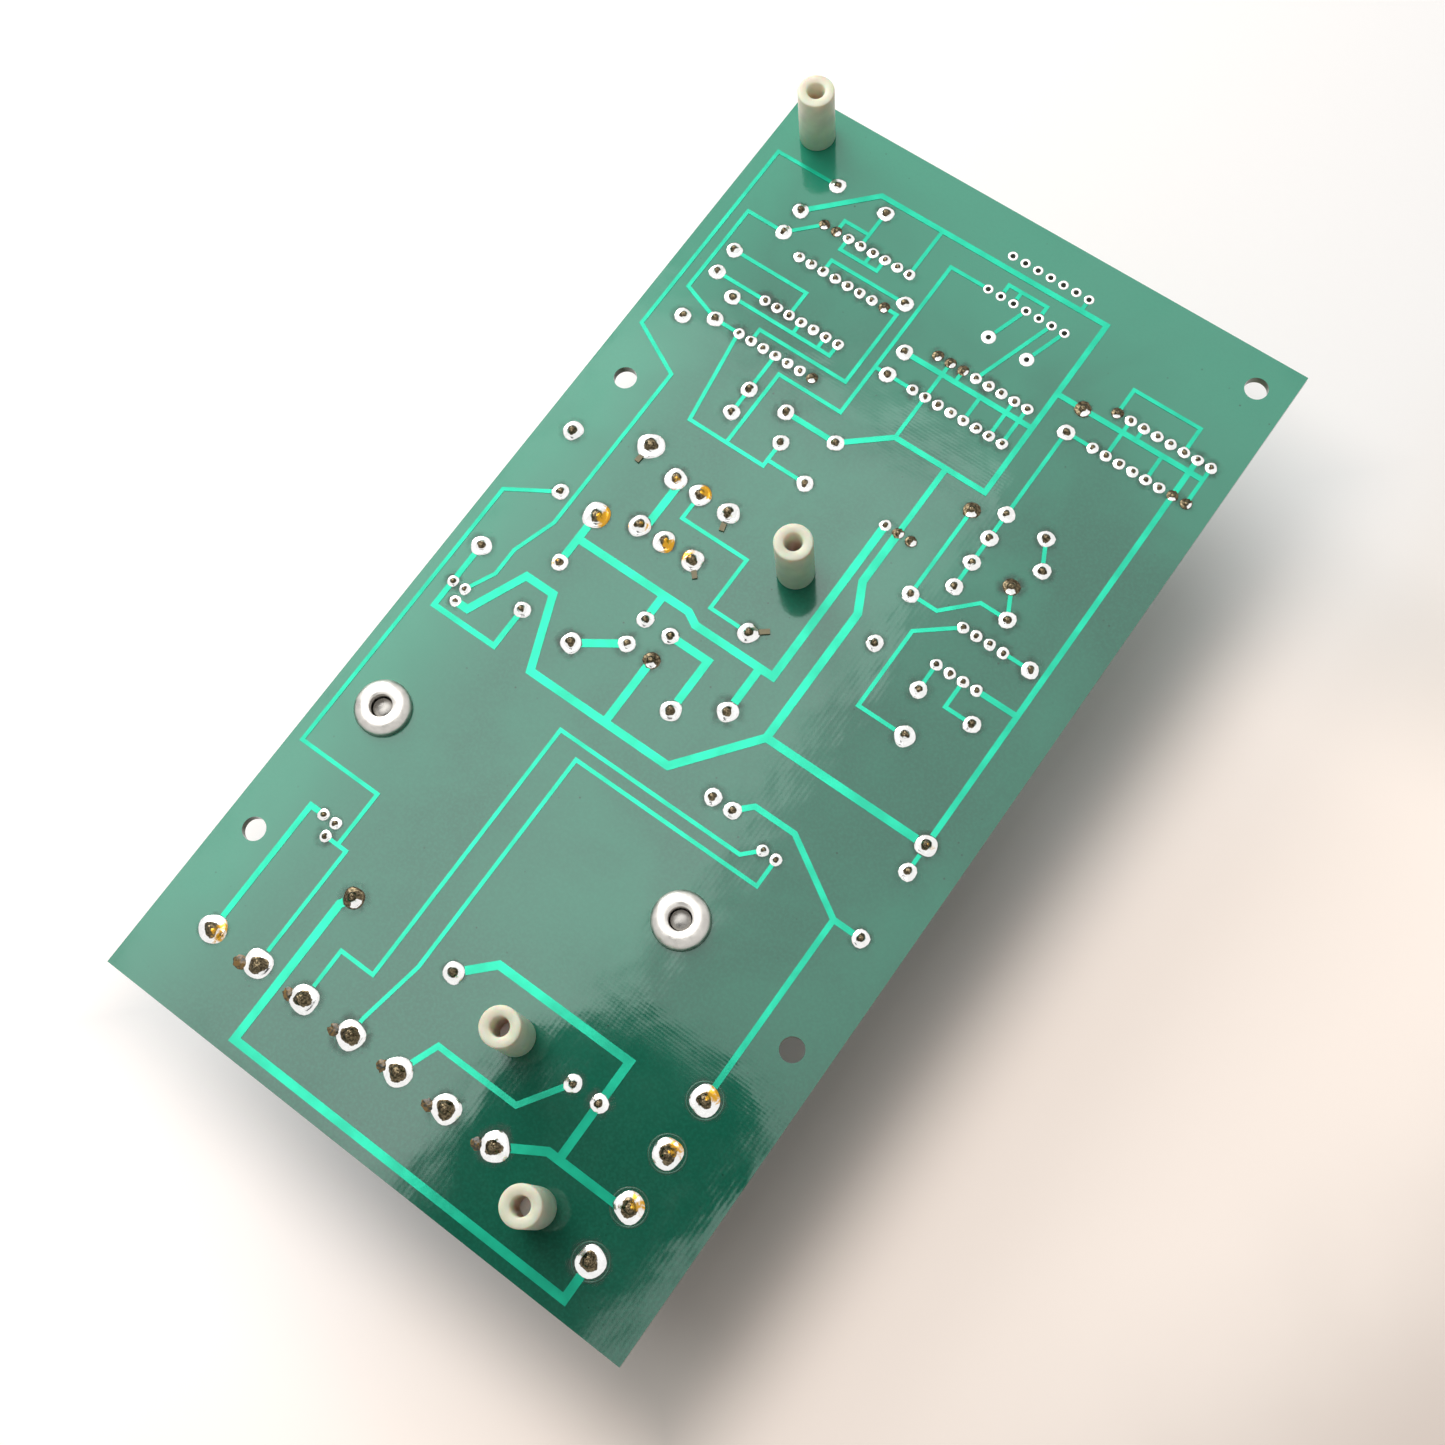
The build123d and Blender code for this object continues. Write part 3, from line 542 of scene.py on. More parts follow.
def ring_finish(colours):
    """Flat tinned rings."""
    look = Finish("tinned_ring")
    tone = look.noise(0.6 * MM, detail=3)
    look.link(look.mottled(tone, colours.solder, 0.85, 1.0), "Base Color")
    look.constant(Metallic=0.75, Roughness=0.30)
    look.bump(look.noise(0.5 * MM, detail=2), 0.02 * MM)
    return look.material


def stain_finish(colours):
    """Thin film of flux on the mask, thickest where its points say, broken up by cloud."""
    look = Finish("flux_film")
    cloud = look.noise(1.6 * MM, detail=3, rough=0.6, warp=0.5)
    film = look.math("MULTIPLY", look.attribute("film"), look.between(cloud, 0.28, 0.66))
    look.constant(Base_Color=colours.stain, Roughness=0.30, IOR=1.5)
    look.link(film, "Alpha")
    return look.material


def nylon_finish(colours):
    """Natural nylon: milky, faintly mottled, a little light passes through."""
    look = Finish("natural_nylon")
    tone = look.noise(2.4 * MM, detail=3)
    look.link(look.mottled(tone, colours.nylon, 0.93, 1.05), "Base Color")
    look.constant(Roughness=0.38, IOR=1.53, Subsurface_Weight=0.75, Subsurface_Scale=2.5 * MM)
    look.bump(look.noise(0.5 * MM, detail=2), 0.012 * MM)
    return look.material


def steel_finish(name, colour, rough=0.24, turn_marks=0.15 * MM):
    """Plated steel with fine marks and a mottled sheen."""
    look = Finish(name)
    tone = look.noise(1.4 * MM, detail=4, warp=0.5)
    look.link(look.mix(look.between(tone, 0.25, 0.75), shade(colour, 0.80), colour), "Base Color")
    look.constant(Metallic=1.0)
    look.link(look.between(tone, 0.3, 0.7, rough * 0.8, rough * 1.3), "Roughness")
    look.bump(look.noise(turn_marks, detail=2), 0.006 * MM)
    return look.material


def moulded_finish(name, colour, rough=0.45, grain=0.35 * MM, depth=0.02 * MM, metallic=0.0):
    """Moulded or painted surface with a fine grain and soft tone."""
    look = Finish(name)
    tone = look.noise(6 * MM, detail=3)
    look.link(look.mottled(tone, colour, 0.85, 1.15), "Base Color")
    look.constant(Metallic=metallic)
    look.link(look.between(tone, 0.3, 0.7, rough * 0.85, rough * 1.15), "Roughness")
    look.bump(look.noise(grain, detail=2), depth)
    return look.material


def layered_finish(name, colour, pitch, direction, rough=0.5, metallic=0.6, share=0.45):
    """Edges of stacked sheets or wound turns: fine even lines across one axis."""
    look = Finish(name)
    lines = look.wave(pitch, direction, 0.2)
    tone = look.noise(3 * MM, detail=3)
    base = look.mottled(tone, colour, 0.8, 1.2)
    look.link(look.mix(look.between(lines, 0.2, 0.8, share, 0), base, shade(colour, 0.35)), "Base Color")
    look.constant(Metallic=metallic, Roughness=rough)
    look.bump(lines, pitch * 0.25)
    return look.material


# Stage

class BOARD_OT_stage(bpy.types.Operator):
    """Camera at the photograph's angle, window light, soft world and pale floor"""

    bl_idname = "board.stage"
    bl_label = "Stage"

    def execute(self, context):
        settings = context.scene.board_stage
        scene = context.scene
        scene.view_settings.view_transform = "Standard"
        self.camera(scene, settings.focal_length)
        for name, size, place, strength, aimed in LAMPS:
            self.lamp(scene, name, size, place, getattr(settings, strength), aimed)
        self.world(scene, settings.fill_strength)
        self.floor()
        self.holder(CAMERA_PLACE[2] * MM)
        return {"FINISHED"}

    def camera(self, scene, focal_length):
        """Camera at the place and turn that the photograph was taken from."""
        right = np.array(PICTURE_RIGHT)
        up = np.array(PICTURE_UP)
        lens = bpy.data.cameras.new("camera")
        lens.sensor_width = SENSOR_WIDTH
        lens.lens = focal_length
        lens.clip_start = 0.01
        camera = bpy.data.objects.new("camera", lens)
        turn = np.eye(4)
        turn[:3, :3] = np.stack([right, up, np.cross(right, up)], 1)
        turn[:3, 3] = np.array(CAMERA_PLACE) * MM
        camera.matrix_world = Matrix(turn.tolist())
        scene.collection.objects.link(camera)
        scene.camera = camera

    def world(self, scene, strength):
        """Soft light of the given strength, seen as plain white by the lens and in reflections."""
        world = bpy.data.worlds.new("room")
        scene.world = world
        world.use_nodes = True
        tree = world.node_tree
        tree.nodes.clear()
        out = tree.nodes.new("ShaderNodeOutputWorld")
        plain = tree.nodes.new("ShaderNodeBackground")
        seen = tree.nodes.new("ShaderNodeBackground")
        blend = tree.nodes.new("ShaderNodeMixShader")
        path = tree.nodes.new("ShaderNodeLightPath")
        plain.inputs["Color"].default_value = (1.0, 0.985, 0.96, 1)
        plain.inputs["Strength"].default_value = strength
        seen.inputs["Color"].default_value = (1, 1, 1, 1)
        seen.inputs["Strength"].default_value = 1.0
        either = tree.nodes.new("ShaderNodeMath")
        either.operation = "MAXIMUM"
        both = tree.nodes.new("ShaderNodeMath")
        both.operation = "MAXIMUM"
        tree.links.new(path.outputs["Is Camera Ray"], either.inputs[0])
        tree.links.new(path.outputs["Is Glossy Ray"], either.inputs[1])
        tree.links.new(either.outputs[0], both.inputs[0])
        tree.links.new(path.outputs["Is Transmission Ray"], both.inputs[1])
        tree.links.new(both.outputs[0], blend.inputs[0])
        tree.links.new(plain.outputs[0], blend.inputs[1])
        tree.links.new(seen.outputs[0], blend.inputs[2])
        tree.links.new(blend.outputs[0], out.inputs["Surface"])

    def lamp(self, scene, name, size, place, power, aimed):
        """Flat light that faces straight down, or towards the board's middle when aimed."""
        light = bpy.data.lights.new(name, "AREA")
        light.shape = "RECTANGLE"
        light.size, light.size_y = size
        light.energy = power
        lamp = bpy.data.objects.new(name, light)
        lamp.location = place
        if aimed:
            lamp.rotation_euler = (-Vector(place)).to_track_quat("-Z", "Y").to_euler()
        scene.collection.objects.link(lamp)

    def floor(self):
        """Wide flat sheet just under the part: white near the light, with painted shade that turns it a
        darker warm grey far from it.

        A lift that only the lens sees is painted light: it brightens the floor away from the board, whose
        shadow stays.
        """
        half_side = 2.5
        gap = 0.02 * MM
        side = np.linspace(-half_side, half_side, 11)
        x, y = np.meshgrid(side, side, indexing="ij")
        points = np.stack([x, y, np.full_like(x, -gap)], -1)
        count = len(side)
        row = np.arange(count - 1)[:, None] * count
        corner = row + np.arange(count - 1)[None, :]
        faces = np.stack([corner, corner + count, corner + count + 1, corner + 1], -1)
        piece = put_mesh("floor", points, [faces.reshape(-1, 4)], smooth=False)
        near_tone = (0.93, 0.925, 0.915)
        warm_tone = (0.90, 0.83, 0.76)
        far_painted_shade_tone = (0.74, 0.64, 0.57)
        look = Finish("pale_table")
        far = look.math("SUBTRACT", look.axis("X"), look.math("MULTIPLY", look.axis("Y"), 0.3))
        cloud = look.noise(60 * MM, detail=4)
        shift = look.math("MULTIPLY", look.math("SUBTRACT", cloud, 0.5), 0.03)
        far = look.math("ADD", far, shift)
        # Painted shade: the floor turns warm grey, then darker grey, away from the upper left.
        tone = look.mix(look.between(far, 0.02, 0.09), near_tone, warm_tone)
        tone = look.mix(look.between(far, 0.12, 0.20), tone, far_painted_shade_tone)
        look.link(tone, "Base Color")
        look.constant(Roughness=0.75)
        path = look.tree.nodes.new("ShaderNodeLightPath")
        # Painted light: the lift below is a glow that only the lens sees, none next to the board and less
        # towards the top.
        beside = look.math("SUBTRACT", look.math("ABSOLUTE", look.axis("X")), BOARD_REACH_X)
        beyond = look.math("SUBTRACT", look.math("ABSOLUTE", look.axis("Y")), BOARD_REACH_Y)
        apart = look.between(look.math("MAXIMUM", beside, beyond), 4 * MM, 26 * MM)
        upper = look.between(look.axis("Y"), 55 * MM, 95 * MM, 1.0, 0.3)
        painted_glow = look.math("MULTIPLY", apart, upper)
        painted_glow = look.math("MULTIPLY", painted_glow, look.between(far, 0.11, 0.175, 0.35, 0.14))
        lift = look.math("MULTIPLY", painted_glow, path.outputs["Is Camera Ray"])
        look.constant(Emission_Color=(1.0, 0.82, 0.72))
        look.link(lift, "Emission Strength")
        piece.data.materials.append(look.material)

    def holder(self, height):
        """Dark card level with the lens, seen only in reflections, as what holds a camera is.

        Its outline is a superellipse: each side's cosine and sine raised to a small power.
        """
        around = 48
        bend = 0.55
        half_across = 0.038
        half_along = 0.060
        slant = 0.12
        middle_x = -0.010
        middle_y = -0.102
        angle = np.linspace(0, 2 * np.pi, around, endpoint=False)
        across = half_across * np.sign(np.cos(angle)) * np.abs(np.cos(angle)) ** bend
        along = half_along * np.sign(np.sin(angle)) * np.abs(np.sin(angle)) ** bend
        share = np.array([1.0, 0.6, 0.2])[:, None]
        x = middle_x + share * (across + slant * along)
        y = middle_y + share * along
        points = np.stack([x, y, np.full_like(x, height)], -1).reshape(-1, 3)
        points = np.concatenate([points, [[middle_x, middle_y, height]]])
        card = put_mesh("holder", points, ring_faces(3, around, close_end=True), smooth=False)
        look = Finish("dark_card")
        look.constant(Base_Color=(0.02, 0.02, 0.02), Roughness=0.9)
        card.data.materials.append(look.material)
        card.visible_camera = False
        card.visible_shadow = False
        card.visible_diffuse = False


# Solder side

class BOARD_OT_mask(bpy.types.Operator):
    """Green mask on the board and aqua tracks"""

    bl_idname = "board.mask"
    bl_label = "Mask and tracks"

    def execute(self, context):
        colours = context.scene.board_colours
        sizes = context.scene.board_sizes
        dress(mask_finish(colours, sizes), "circuit_board")
        dress(track_finish(colours), "solder_side_tracks")
        return {"FINISHED"}


class BOARD_OT_joints(bpy.types.Operator):
    """Solder joints: fillets of solder that rise to the cut leads"""

    bl_idname = "board.joints"
    bl_label = "Solder joints"

    def execute(self, context):
        solids = islands("solder_joints")
        small = solids[:, 3] < 1.5 * MM
        material = solder_finish(context.scene.board_colours)
        piece = self.fillets("solder_domes_small", solids[small], 12, 1)
        add_piece(piece, material, "solder")
        large = self.fillets("solder_domes_large", solids[~small], 22, 2)
        add_piece(large, material, "solder", "solder_joints")
        return {"FINISHED"}

    def fillets(self, name, solids, around, draw):
        """Each joint is a dome whose rings shrink from the pad's edge to the lead's end.

        A ring's height is the joint's height times the rise at that ring. The rings lean
        towards the lead's own offset, and each ring's radius wavers a little.
        """
        tallest = 1.3 * MM
        lean_spread = 0.07
        waver_reach = 0.03
        bump_reach = 0.06
        rng = np.random.default_rng(SEED + draw)
        count = len(solids)
        half = solids[:, 4]
        share = np.array([0.0, 0.04, 0.20, 0.40, 0.56, 0.68, 0.80, 0.92])
        radius = np.array([1.0, 0.97, 0.80, 0.60, 0.44, 0.33, 0.22, 0.09])
        rise = np.array([0.0, 0.10, 0.17, 0.26, 0.44, 0.78, 1.0, 0.97])
        angle = np.linspace(0, 2 * np.pi, around, endpoint=False)
        tall = np.minimum(half * rng.uniform(0.42, 0.72, count), tallest)
        lean = rng.normal(0, lean_spread, (count, 2)) * half[:, None]
        phase = rng.uniform(0, 2 * np.pi, (count, 3))
        waver = sum(
            waver_reach * np.sin((turn + 2) * angle[None, :] + phase[:, turn, None]) for turn in range(3)
        )
        outline = 1 + waver[:, None, :] * per_ring(1 - share)
        ring = per_solid(half) * per_ring(radius) * outline
        x = per_solid(solids[:, 0]) + ring * np.cos(angle) + per_solid(lean[:, 0]) * per_ring(share)
        y = per_solid(solids[:, 1]) + ring * np.sin(angle) + per_solid(lean[:, 1]) * per_ring(share)
        bumpy = 1 + bump_reach * rng.standard_normal((count, len(share), around)) * per_ring(share > 0.5)
        z = BOARD_TOP + per_solid(tall) * per_ring(rise) * bumpy
        points = np.stack([x, y, z], -1).reshape(count, -1, 3)
        pole = np.stack([
            solids[:, 0] + lean[:, 0], solids[:, 1] + lean[:, 1], BOARD_TOP + tall * 0.98], -1)
        points = np.concatenate([points, pole[:, None]], axis=1)
        piece = put_mesh(name, points, ring_faces(len(share), around, count, close_end=True))
        # The dull value marks dull solder together with a painted reflection of the dark surroundings.
        put_attribute(piece, "dull", self.dullness_and_reflection(solids, share, angle, rng))
        put_attribute(piece, "amber", self.flux(solids, share, angle))
        return piece

    def dullness_and_reflection(self, solids, share, angle, rng):
        """Dark lead end with a lobed outline, partly the cut lead and partly a painted reflection of the
        dark surroundings, and listed joints painted dark all over in the same way but for one painted
        highlight.
        """
        dark_reflection_tone = 0.85
        lobe_reach = 0.05
        terminal_shift = 0.13
        count = len(solids)
        places = grid_place(solids)
        # Painted highlight: one bright spot on a side of each listed dark joint.
        painted_glint_turn = rng.uniform(-1.3, 0.1, count)
        painted_glint = np.clip(3 * np.cos(angle[None, :] - painted_glint_turn[:, None]) - 1.7, 0, 1)
        painted_glint = painted_glint[:, None, :] * per_ring((share > 0.15) & (share < 0.6))
        terminal = (places[:, 1] > TERMINALS_FROM_ROW) & (solids[:, 4] > TERMINAL_HALF)
        size = rng.uniform(0.50, 0.64, (count, 1, 1)) - terminal_shift * per_solid(terminal)
        lobes = sum(
            lobe_reach * np.cos((turn + 1) * angle[None, None, :] + 6.28 * rng.random((count, 1, 1)))
            for turn in range(3)
        )
        # Dark lead ends are partly the cut lead and partly a painted reflection; the terminal joints get
        # larger ones.
        lead_end_and_reflection = np.clip((per_ring(share) - size + lobes) * 4 + 0.5, 0, 1)
        listed = near_places(places, DULL_AND_REFLECTING_JOINTS)
        dull = np.where(per_solid(listed), dark_reflection_tone * (1 - painted_glint), lead_end_and_reflection)
        return np.concatenate([dull.reshape(count, -1), np.ones((count, 1))], axis=1)

    def flux(self, solids, share, angle):
        """Amber on the listed joints, strongest towards the listed side."""
        count = len(solids)
        places = grid_place(solids)
        strengths = np.zeros(count)
        turns = np.zeros(count)
        for column, row, strength, turn in AMBER_JOINTS:
            own = near_places(places, [(column, row)])
            strengths[own] = strength
            turns[own] = np.radians(turn)
        reach = np.clip(np.cos(angle[None, :] - turns[:, None]), 0, 1)
        amber = per_solid(strengths) * reach[:, None, :] * per_ring(np.ones(len(share)))
        return np.concatenate([amber.reshape(count, -1), np.zeros((count, 1))], axis=1)


class BOARD_OT_pads(bpy.types.Operator):
    """Tinned rings of the empty places"""

    bl_idname = "board.pads"
    bl_label = "Empty pads"

    def execute(self, context):
        solids = islands("empty_pads")
        small = solids[:, 3] < 1.0 * MM
        material = ring_finish(context.scene.board_colours)
        hole = 0.43 * MM
        for name, group in (("empty_rings", solids[small]), ("loose_rings", solids[~small])):
            outer = float(group[:, 3].mean())
            profile = [
                (hole, 0.02 * MM), (hole + 0.12 * MM, 0.09 * MM), ((outer + hole) / 2, 0.11 * MM),
                (outer - 0.14 * MM, 0.09 * MM), (outer, 0.03 * MM), (outer, 0), (hole, 0),
            ]
            piece = turned(name, centres_at(group, BOARD_TOP), profile, around=20)
            replaced = ("empty_pads",) if name == "empty_rings" else ()
            add_piece(piece, material, "solder", *replaced)
        return {"FINISHED"}


class BOARD_OT_flux(bpy.types.Operator):
    """Thin flux film on the mask round the joints"""

    bl_idname = "board.flux"
    bl_label = "Flux film"

    def execute(self, context):
        sizes = context.scene.board_sizes
        rng = np.random.default_rng(SEED + 5)
        solids = islands("solder_joints")
        inner_share = 0.9
        waver_reach = 0.05
        fade = 1.3
        around = 20
        angle = np.linspace(0, 2 * np.pi, around, endpoint=False)
        share = np.array([0.0, 0.2, 0.5, 0.8, 1.0])
        count = len(solids)
        reach = sizes.halo_reach * rng.uniform(0.6, 1.5, count)
        ring = per_solid(solids[:, 3]) * inner_share + per_solid(reach) * per_ring(share)
        ring = ring * (1 + waver_reach * rng.standard_normal((count, 1, around)))
        x = per_solid(solids[:, 0]) + ring * np.cos(angle)
        y = per_solid(solids[:, 1]) + ring * np.sin(angle)
        z = np.broadcast_to(BOARD_TOP + sizes.film_lift, x.shape)
        points = np.stack([x, y, z], -1)
        piece = put_mesh("flux_film", points, ring_faces(len(share), around, count))
        strength = rng.uniform(0.35, 0.95, count)
        put_attribute(piece, "film", per_solid(strength) * per_ring(1 - share) ** fade * np.ones(around))
        add_piece(piece, stain_finish(context.scene.board_colours), "board_green")
        wide = solids[solids[:, 3] > TERMINAL_HALF]
        column, row = grid_place(wide).T
        self.rims(wide[column > FOUR_WAY_FROM_COLUMN])
        # The first joint of the seven-way row has no lump.
        self.lumps(wide[(row > SEVEN_WAY_FROM_ROW) & (column < FOUR_WAY_FROM_COLUMN)][1:], rng)
        return {"FINISHED"}

    def rims(self, solids):
        """Low rounded rims where the mask stops round the terminal joints."""
        height = 0.05 * MM
        inner = float(solids[:, 3].max()) + 0.30 * MM
        profile = [
            (inner, 0.0), (inner + 0.09 * MM, height), (inner + 0.20 * MM, height), (inner + 0.30 * MM, 0.0),
        ]
        piece = turned("mask_rims", centres_at(solids, BOARD_TOP), profile, around=40)
        add_piece(piece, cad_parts["circuit_board"].data.materials[0], "board_green")

    def lumps(self, solids, rng):
        """Lumps of flux beside the terminal joints: low domes with wavering outlines.

        Height falls off as one less the square of the distance from the middle.
        """
        tall = 0.30 * MM
        aside = 2.45 * MM
        narrow = 0.8
        count = len(solids)
        around = 18
        angle = np.linspace(0, 2 * np.pi, around, endpoint=False)
        share = np.array([1.0, 0.94, 0.7, 0.35])
        size = rng.uniform(1.0, 1.45, (count, 1, 1)) * MM
        waver = 1 + 0.10 * rng.standard_normal((count, 1, around))
        ring = size * per_ring(share) * waver
        drop = rng.uniform(0.7, 1.4, (count, 1, 1)) * MM
        x = per_solid(solids[:, 0]) - aside + ring * np.cos(angle)
        y = per_solid(solids[:, 1]) - drop + narrow * ring * np.sin(angle)
        z = BOARD_TOP + tall * per_ring(1 - share ** 2) * np.ones_like(x)
        points = np.stack([x, y, z], -1).reshape(count, -1, 3)
        pole = np.stack([x[:, 0].mean(1), y[:, 0].mean(1), np.full(count, BOARD_TOP + tall)], -1)
        points = np.concatenate([points, pole[:, None]], axis=1)
        piece = put_mesh("flux_lumps", points, ring_faces(len(share), around, count, close_end=True))
        look = Finish("hard_flux")
        tone = look.between(look.noise(0.5 * MM, detail=3), 0.35, 0.65)
        look.link(look.mix(tone, (0.020, 0.022, 0.010), (0.22, 0.12, 0.020)), "Base Color")
        look.constant(Roughness=0.15, IOR=1.5)
        look.bump(look.noise(0.35 * MM, detail=2), 0.04 * MM)
        add_piece(piece, look.material, "board_green")


class BOARD_OT_standoffs(bpy.types.Operator):
    """Nylon standoffs and the screws inside them"""

    bl_idname = "board.standoffs"
    bl_label = "Standoffs"

    def execute(self, context):
        colours = context.scene.board_colours
        solids = islands("nylon_standoffs")
        outer = float(solids[0, 3])
        tall = float(solids[0, 7] - solids[0, 6])
        bore = 1.5 * MM
        thread = 1.80 * MM
        depth = 4.75 * MM
        rim = context.scene.board_sizes.standoff_edge
        profile = [
            (thread, 0), (thread, depth), (bore, depth), (bore, tall - rim), (bore + rim, tall),
            (outer - rim, tall), (outer - rim * 0.3, tall - rim * 0.3), (outer, tall - rim), (outer, rim),
            (outer - rim, 0),
        ]
        piece = turned("nylon_standoff_tubes", centres_at(solids, BOARD_TOP), profile, around=64)
        add_piece(piece, nylon_finish(colours), "nylon", "nylon_standoffs")
        dress(steel_finish("screw_steel", shade(colours.steel, 1.25), 0.42), "standoff_screws")
        return {"FINISHED"}


class BOARD_OT_ring_nuts(bpy.types.Operator):
    """Flanged ring nuts with bevelled rims"""

    bl_idname = "board.ring_nuts"
    bl_label = "Ring nuts"

    def execute(self, context):
        colours = context.scene.board_colours
        solids = islands("ring_nuts")
        outer = float(solids[0, 3])
        tall = float(solids[0, 7]) - BOARD_TOP
        bore = 1.9 * MM
        lip = 0.10 * MM
        shank = 2.75 * MM
        reach = 1.6 * MM
        profile = [
            (bore, -reach), (bore, tall - lip), (bore + lip, tall), (outer - 1.5 * MM, tall),
            (outer - 0.7 * MM, tall - 0.28 * MM), (outer - 0.2 * MM, tall - 0.75 * MM),
            (outer, tall - 1.15 * MM), (outer, 0), (shank, 0), (shank, -reach),
        ]
        piece = turned("ring_nut_forms", centres_at(solids, BOARD_TOP), profile, around=72)
        add_piece(piece, steel_finish("nut_steel", colours.steel, 0.34), "zinc_steel", "ring_nuts")
        # Painted shade: the screws' steel is darkened, as their ends lie deep in the nuts' bores.
        self.screws(shade(colours.steel, 0.42))
        return {"FINISHED"}

    def screws(self, colour):
        """Machine screws whose ridged shanks end in a small bevel inside the ring nuts.

        The shank's radius steps between the thread's and its root's at each half pitch.
        """
        solids = islands("transformer_screws")
        low = float(solids[0, 6])
        high = float(solids[0, 7])
        pitch = 0.6 * MM
        head = 3.0 * MM
        shank = 1.80 * MM
        root = 1.45 * MM
        tip = 1.55 * MM
        middle = 0.01 * MM
        neck = low + 2.2 * MM
        end = high - 0.90 * MM
        turns = np.arange(neck + 0.3 * MM, end - 0.7 * MM, pitch / 2)
        ridge = [(root if step % 2 else shank, level) for step, level in enumerate(turns)]
        profile = [
            (middle, low), (head * 0.62, low), (head * 0.93, low + 0.5 * MM), (head, low + 1.1 * MM),
            (head, neck), (shank, neck), *ridge, (shank, end - 0.2 * MM), (tip, end), (middle, end),
        ]
        piece = turned("transformer_screw_forms", centres_at(solids, 0), profile, around=40, closed=False)
        add_piece(piece, steel_finish("fixing_steel", colour, 0.3), "zinc_steel", "transformer_screws")


class BOARD_OT_lead_tabs(bpy.types.Operator):
    """Bent lead ends beside the relay's joints"""

    bl_idname = "board.lead_tabs"
    bl_label = "Lead tabs"

    def execute(self, context):
        dress(moulded_finish("tarnished_lead", (0.10, 0.085, 0.045), 0.35, 0.3 * MM, 0.03 * MM, 0.5),
              "lead_tabs")
        return {"FINISHED"}


# Parts side

class BOARD_OT_packages(bpy.types.Operator):
    """Moulded packages and their leads"""

    bl_idname = "board.packages"
    bl_label = "Packages"

    def execute(self, context):
        colours = context.scene.board_colours
        dress(moulded_finish("package_plastic", colours.black, 0.42, 0.15 * MM, 0.012 * MM),
              "ic_upper_left", "ic_lower_left", "ic_middle", "ic_right", "ic_eight_pin",
              "regulator_body", "bridge_rectifier", "transistor_left", "transistor_lower")
        dress(steel_finish("tinned_lead", (0.72, 0.70, 0.65), 0.30),
              "ic_leads", "relay_pins", "regulator_leads", "resistor_leads", "axial_part_leads",
              "radial_leads")
        dress(steel_finish("tab_metal", (0.70, 0.70, 0.69), 0.34), "regulator_tab")
        return {"FINISHED"}


class BOARD_OT_transformer(bpy.types.Operator):
    """Transformer: laminated core, strap, bobbin, winding, leads and screws"""

    bl_idname = "board.transformer"
    bl_label = "Transformer"

    def execute(self, context):
        dress(layered_finish("laminated_core", (0.09, 0.09, 0.10), 0.5 * MM, "Y"), "transformer_core")
        dress(steel_finish("strap_steel", (0.55, 0.55, 0.53), 0.36), "transformer_frame")
        dress(moulded_finish("bobbin_nylon", (0.62, 0.59, 0.48), 0.45), "transformer_bobbin")
        dress(layered_finish("taped_winding", (0.62, 0.47, 0.10), 2.2 * MM, "Z", 0.35, 0.0, 0.25),
              "transformer_winding")
        dress(moulded_finish("lead_sleeve", (0.02, 0.02, 0.02), 0.5), "transformer_leads")
        return {"FINISHED"}


class BOARD_OT_relay(bpy.types.Operator):
    """Relay cover and base"""

    bl_idname = "board.relay"
    bl_label = "Relay"

    def execute(self, context):
        dress(moulded_finish("relay_cover", (0.035, 0.037, 0.042), 0.18, 2 * MM, 0.01 * MM), "relay_cover")
        dress(moulded_finish("relay_base", (0.02, 0.02, 0.02), 0.5), "relay_base")
        return {"FINISHED"}


class BOARD_OT_terminals(bpy.types.Operator):
    """Barrier terminals, clamps and screws"""

    bl_idname = "board.terminals"
    bl_label = "Terminals"

    def execute(self, context):
        colours = context.scene.board_colours
        dress(moulded_finish("barrier_plastic", colours.black, 0.36, 0.4 * MM, 0.015 * MM),
              "seven_way_terminal", "four_way_terminal")
        dress(steel_finish("clamp_metal", (0.72, 0.68, 0.56), 0.3), "terminal_clamps", "terminal_pins")
        dress(steel_finish("terminal_screw_steel", colours.steel, 0.26), "terminal_screws")
        return {"FINISHED"}


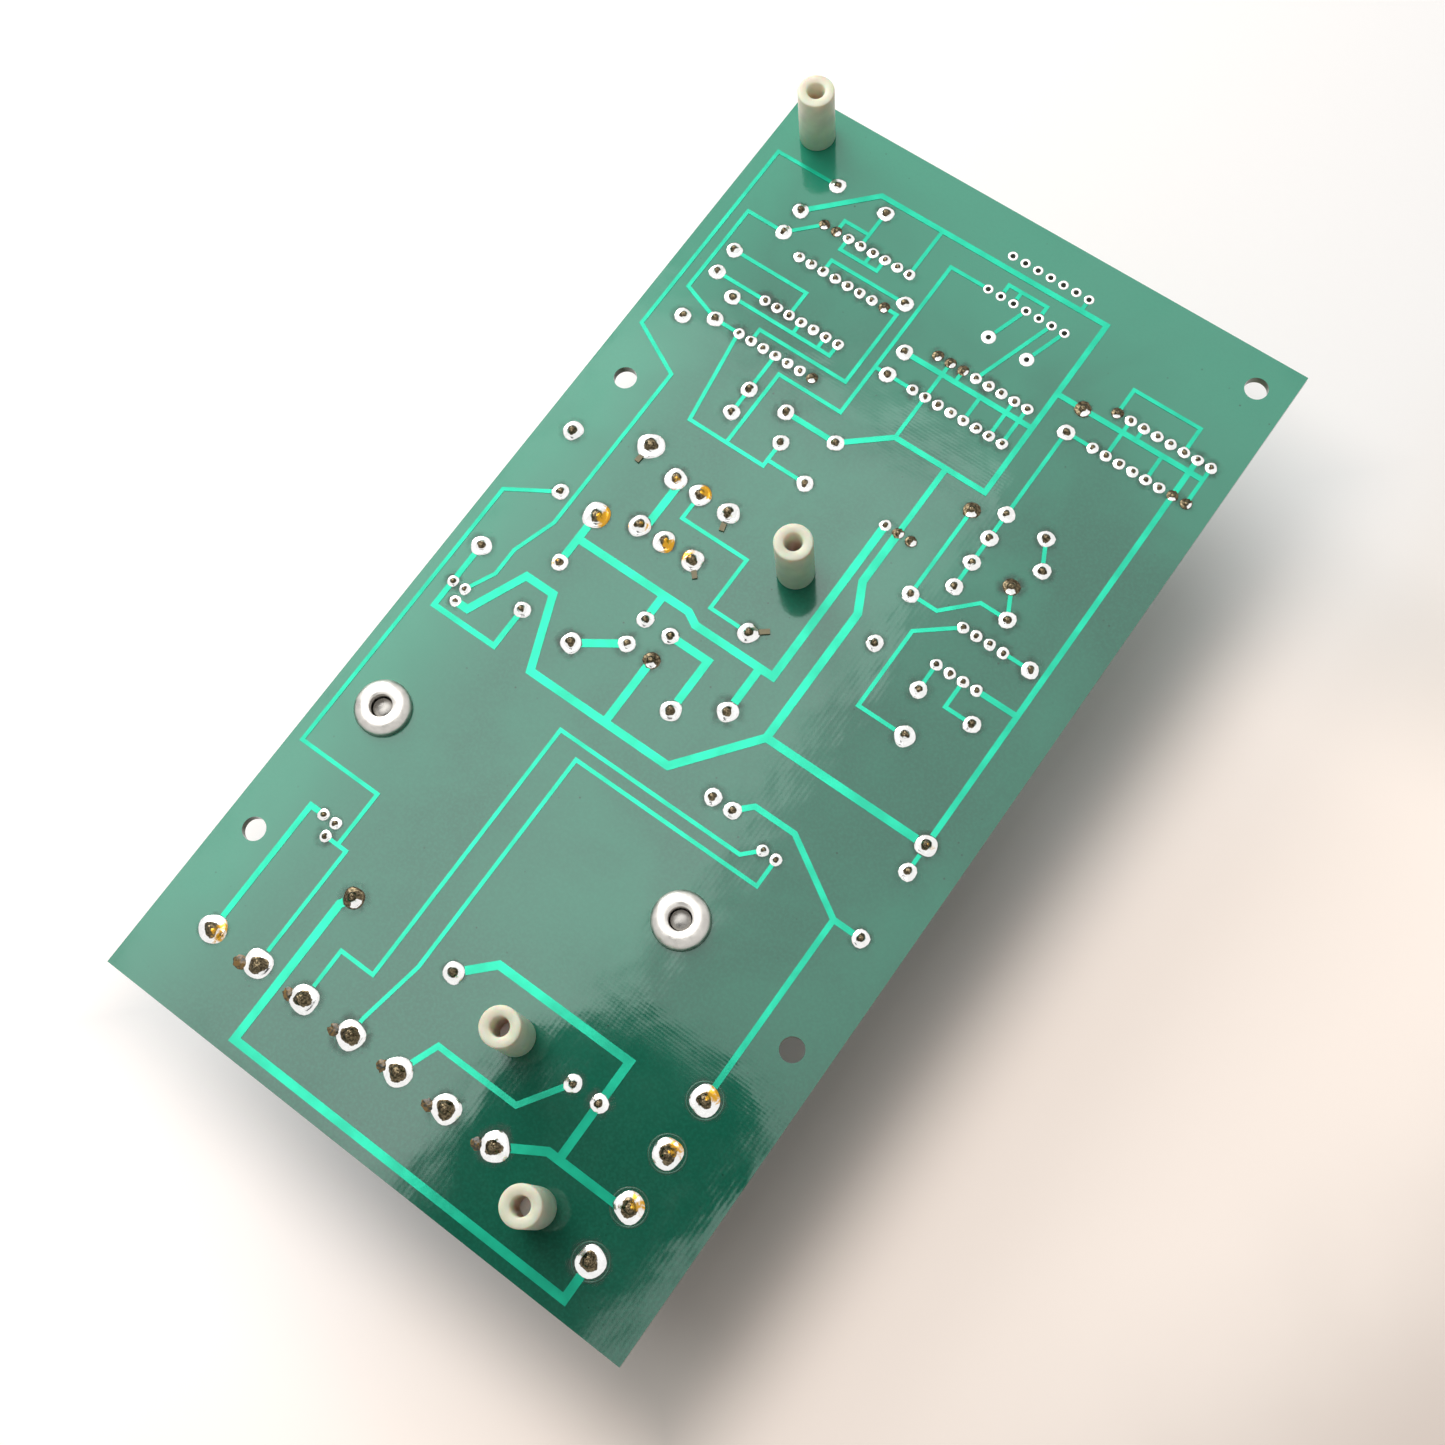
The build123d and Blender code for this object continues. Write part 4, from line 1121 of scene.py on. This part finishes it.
class BOARD_OT_small_parts(bpy.types.Operator):
    """Capacitors, resistors and the diode"""

    bl_idname = "board.small_parts"
    bl_label = "Small parts"

    def execute(self, context):
        dress(moulded_finish("blue_sleeve", (0.012, 0.035, 0.16), 0.28, 3 * MM, 0.01 * MM),
              "filter_capacitor")
        dress(moulded_finish("yellow_film", (0.62, 0.43, 0.04), 0.30, 2 * MM, 0.01 * MM), "relay_capacitor")
        dress(moulded_finish("cement_coat", (0.55, 0.52, 0.45), 0.6), "power_resistor")
        dress(moulded_finish("black_epoxy", (0.02, 0.02, 0.02), 0.35), "relay_diode")
        dress(moulded_finish("tan_lacquer", (0.48, 0.32, 0.17), 0.3, 0.8 * MM, 0.02 * MM),
              *[f"resistor_{number}" for number in range(1, 9)])
        dress(moulded_finish("amber_dip", (0.50, 0.16, 0.015), 0.25, 1.2 * MM, 0.03 * MM),
              *[f"capacitor_{number}" for number in range(1, 10)])
        return {"FINISHED"}


class BOARD_PT_looks(bpy.types.Panel):
    """Sidebar list of the board's pieces"""

    bl_idname = "BOARD_PT_looks"
    bl_label = "Board"
    bl_space_type = "VIEW_3D"
    bl_region_type = "UI"
    bl_category = "Board"

    def draw(self, context):
        layout = self.layout
        for operator in OPERATORS:
            layout.operator(operator.bl_idname)
        for group in (context.scene.board_colours, context.scene.board_sizes, context.scene.board_stage):
            for name in group.__annotations__:
                layout.prop(group, name)


OPERATORS = (
    BOARD_OT_stage, BOARD_OT_mask, BOARD_OT_joints, BOARD_OT_pads, BOARD_OT_flux,
    BOARD_OT_standoffs, BOARD_OT_ring_nuts, BOARD_OT_lead_tabs, BOARD_OT_packages,
    BOARD_OT_transformer, BOARD_OT_relay, BOARD_OT_terminals, BOARD_OT_small_parts,
)
GROUPS = (BoardColours, BoardSizes, BoardStage)


def register():
    """Registers the classes and hangs the property groups on the scene."""
    for cls in (*GROUPS, *OPERATORS, BOARD_PT_looks):
        bpy.utils.register_class(cls)
    bpy.types.Scene.board_colours = bpy.props.PointerProperty(type=BoardColours)
    bpy.types.Scene.board_sizes = bpy.props.PointerProperty(type=BoardSizes)
    bpy.types.Scene.board_stage = bpy.props.PointerProperty(type=BoardStage)


def unregister():
    """Takes the property groups and classes away again."""
    del bpy.types.Scene.board_stage
    del bpy.types.Scene.board_sizes
    del bpy.types.Scene.board_colours
    for cls in reversed((*GROUPS, *OPERATORS, BOARD_PT_looks)):
        bpy.utils.unregister_class(cls)


def plain(bounds):
    """Box corners as lists of plain numbers."""
    return [[float(value) for value in corner] for corner in bounds]


def main():
    """Makes every piece in order."""
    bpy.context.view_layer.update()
    register()
    for operator in OPERATORS:
        group, name = operator.bl_idname.split(".")
        getattr(getattr(bpy.ops, group), name)()
    bpy.context.view_layer.update()


if __name__ == "__main__":
    main()
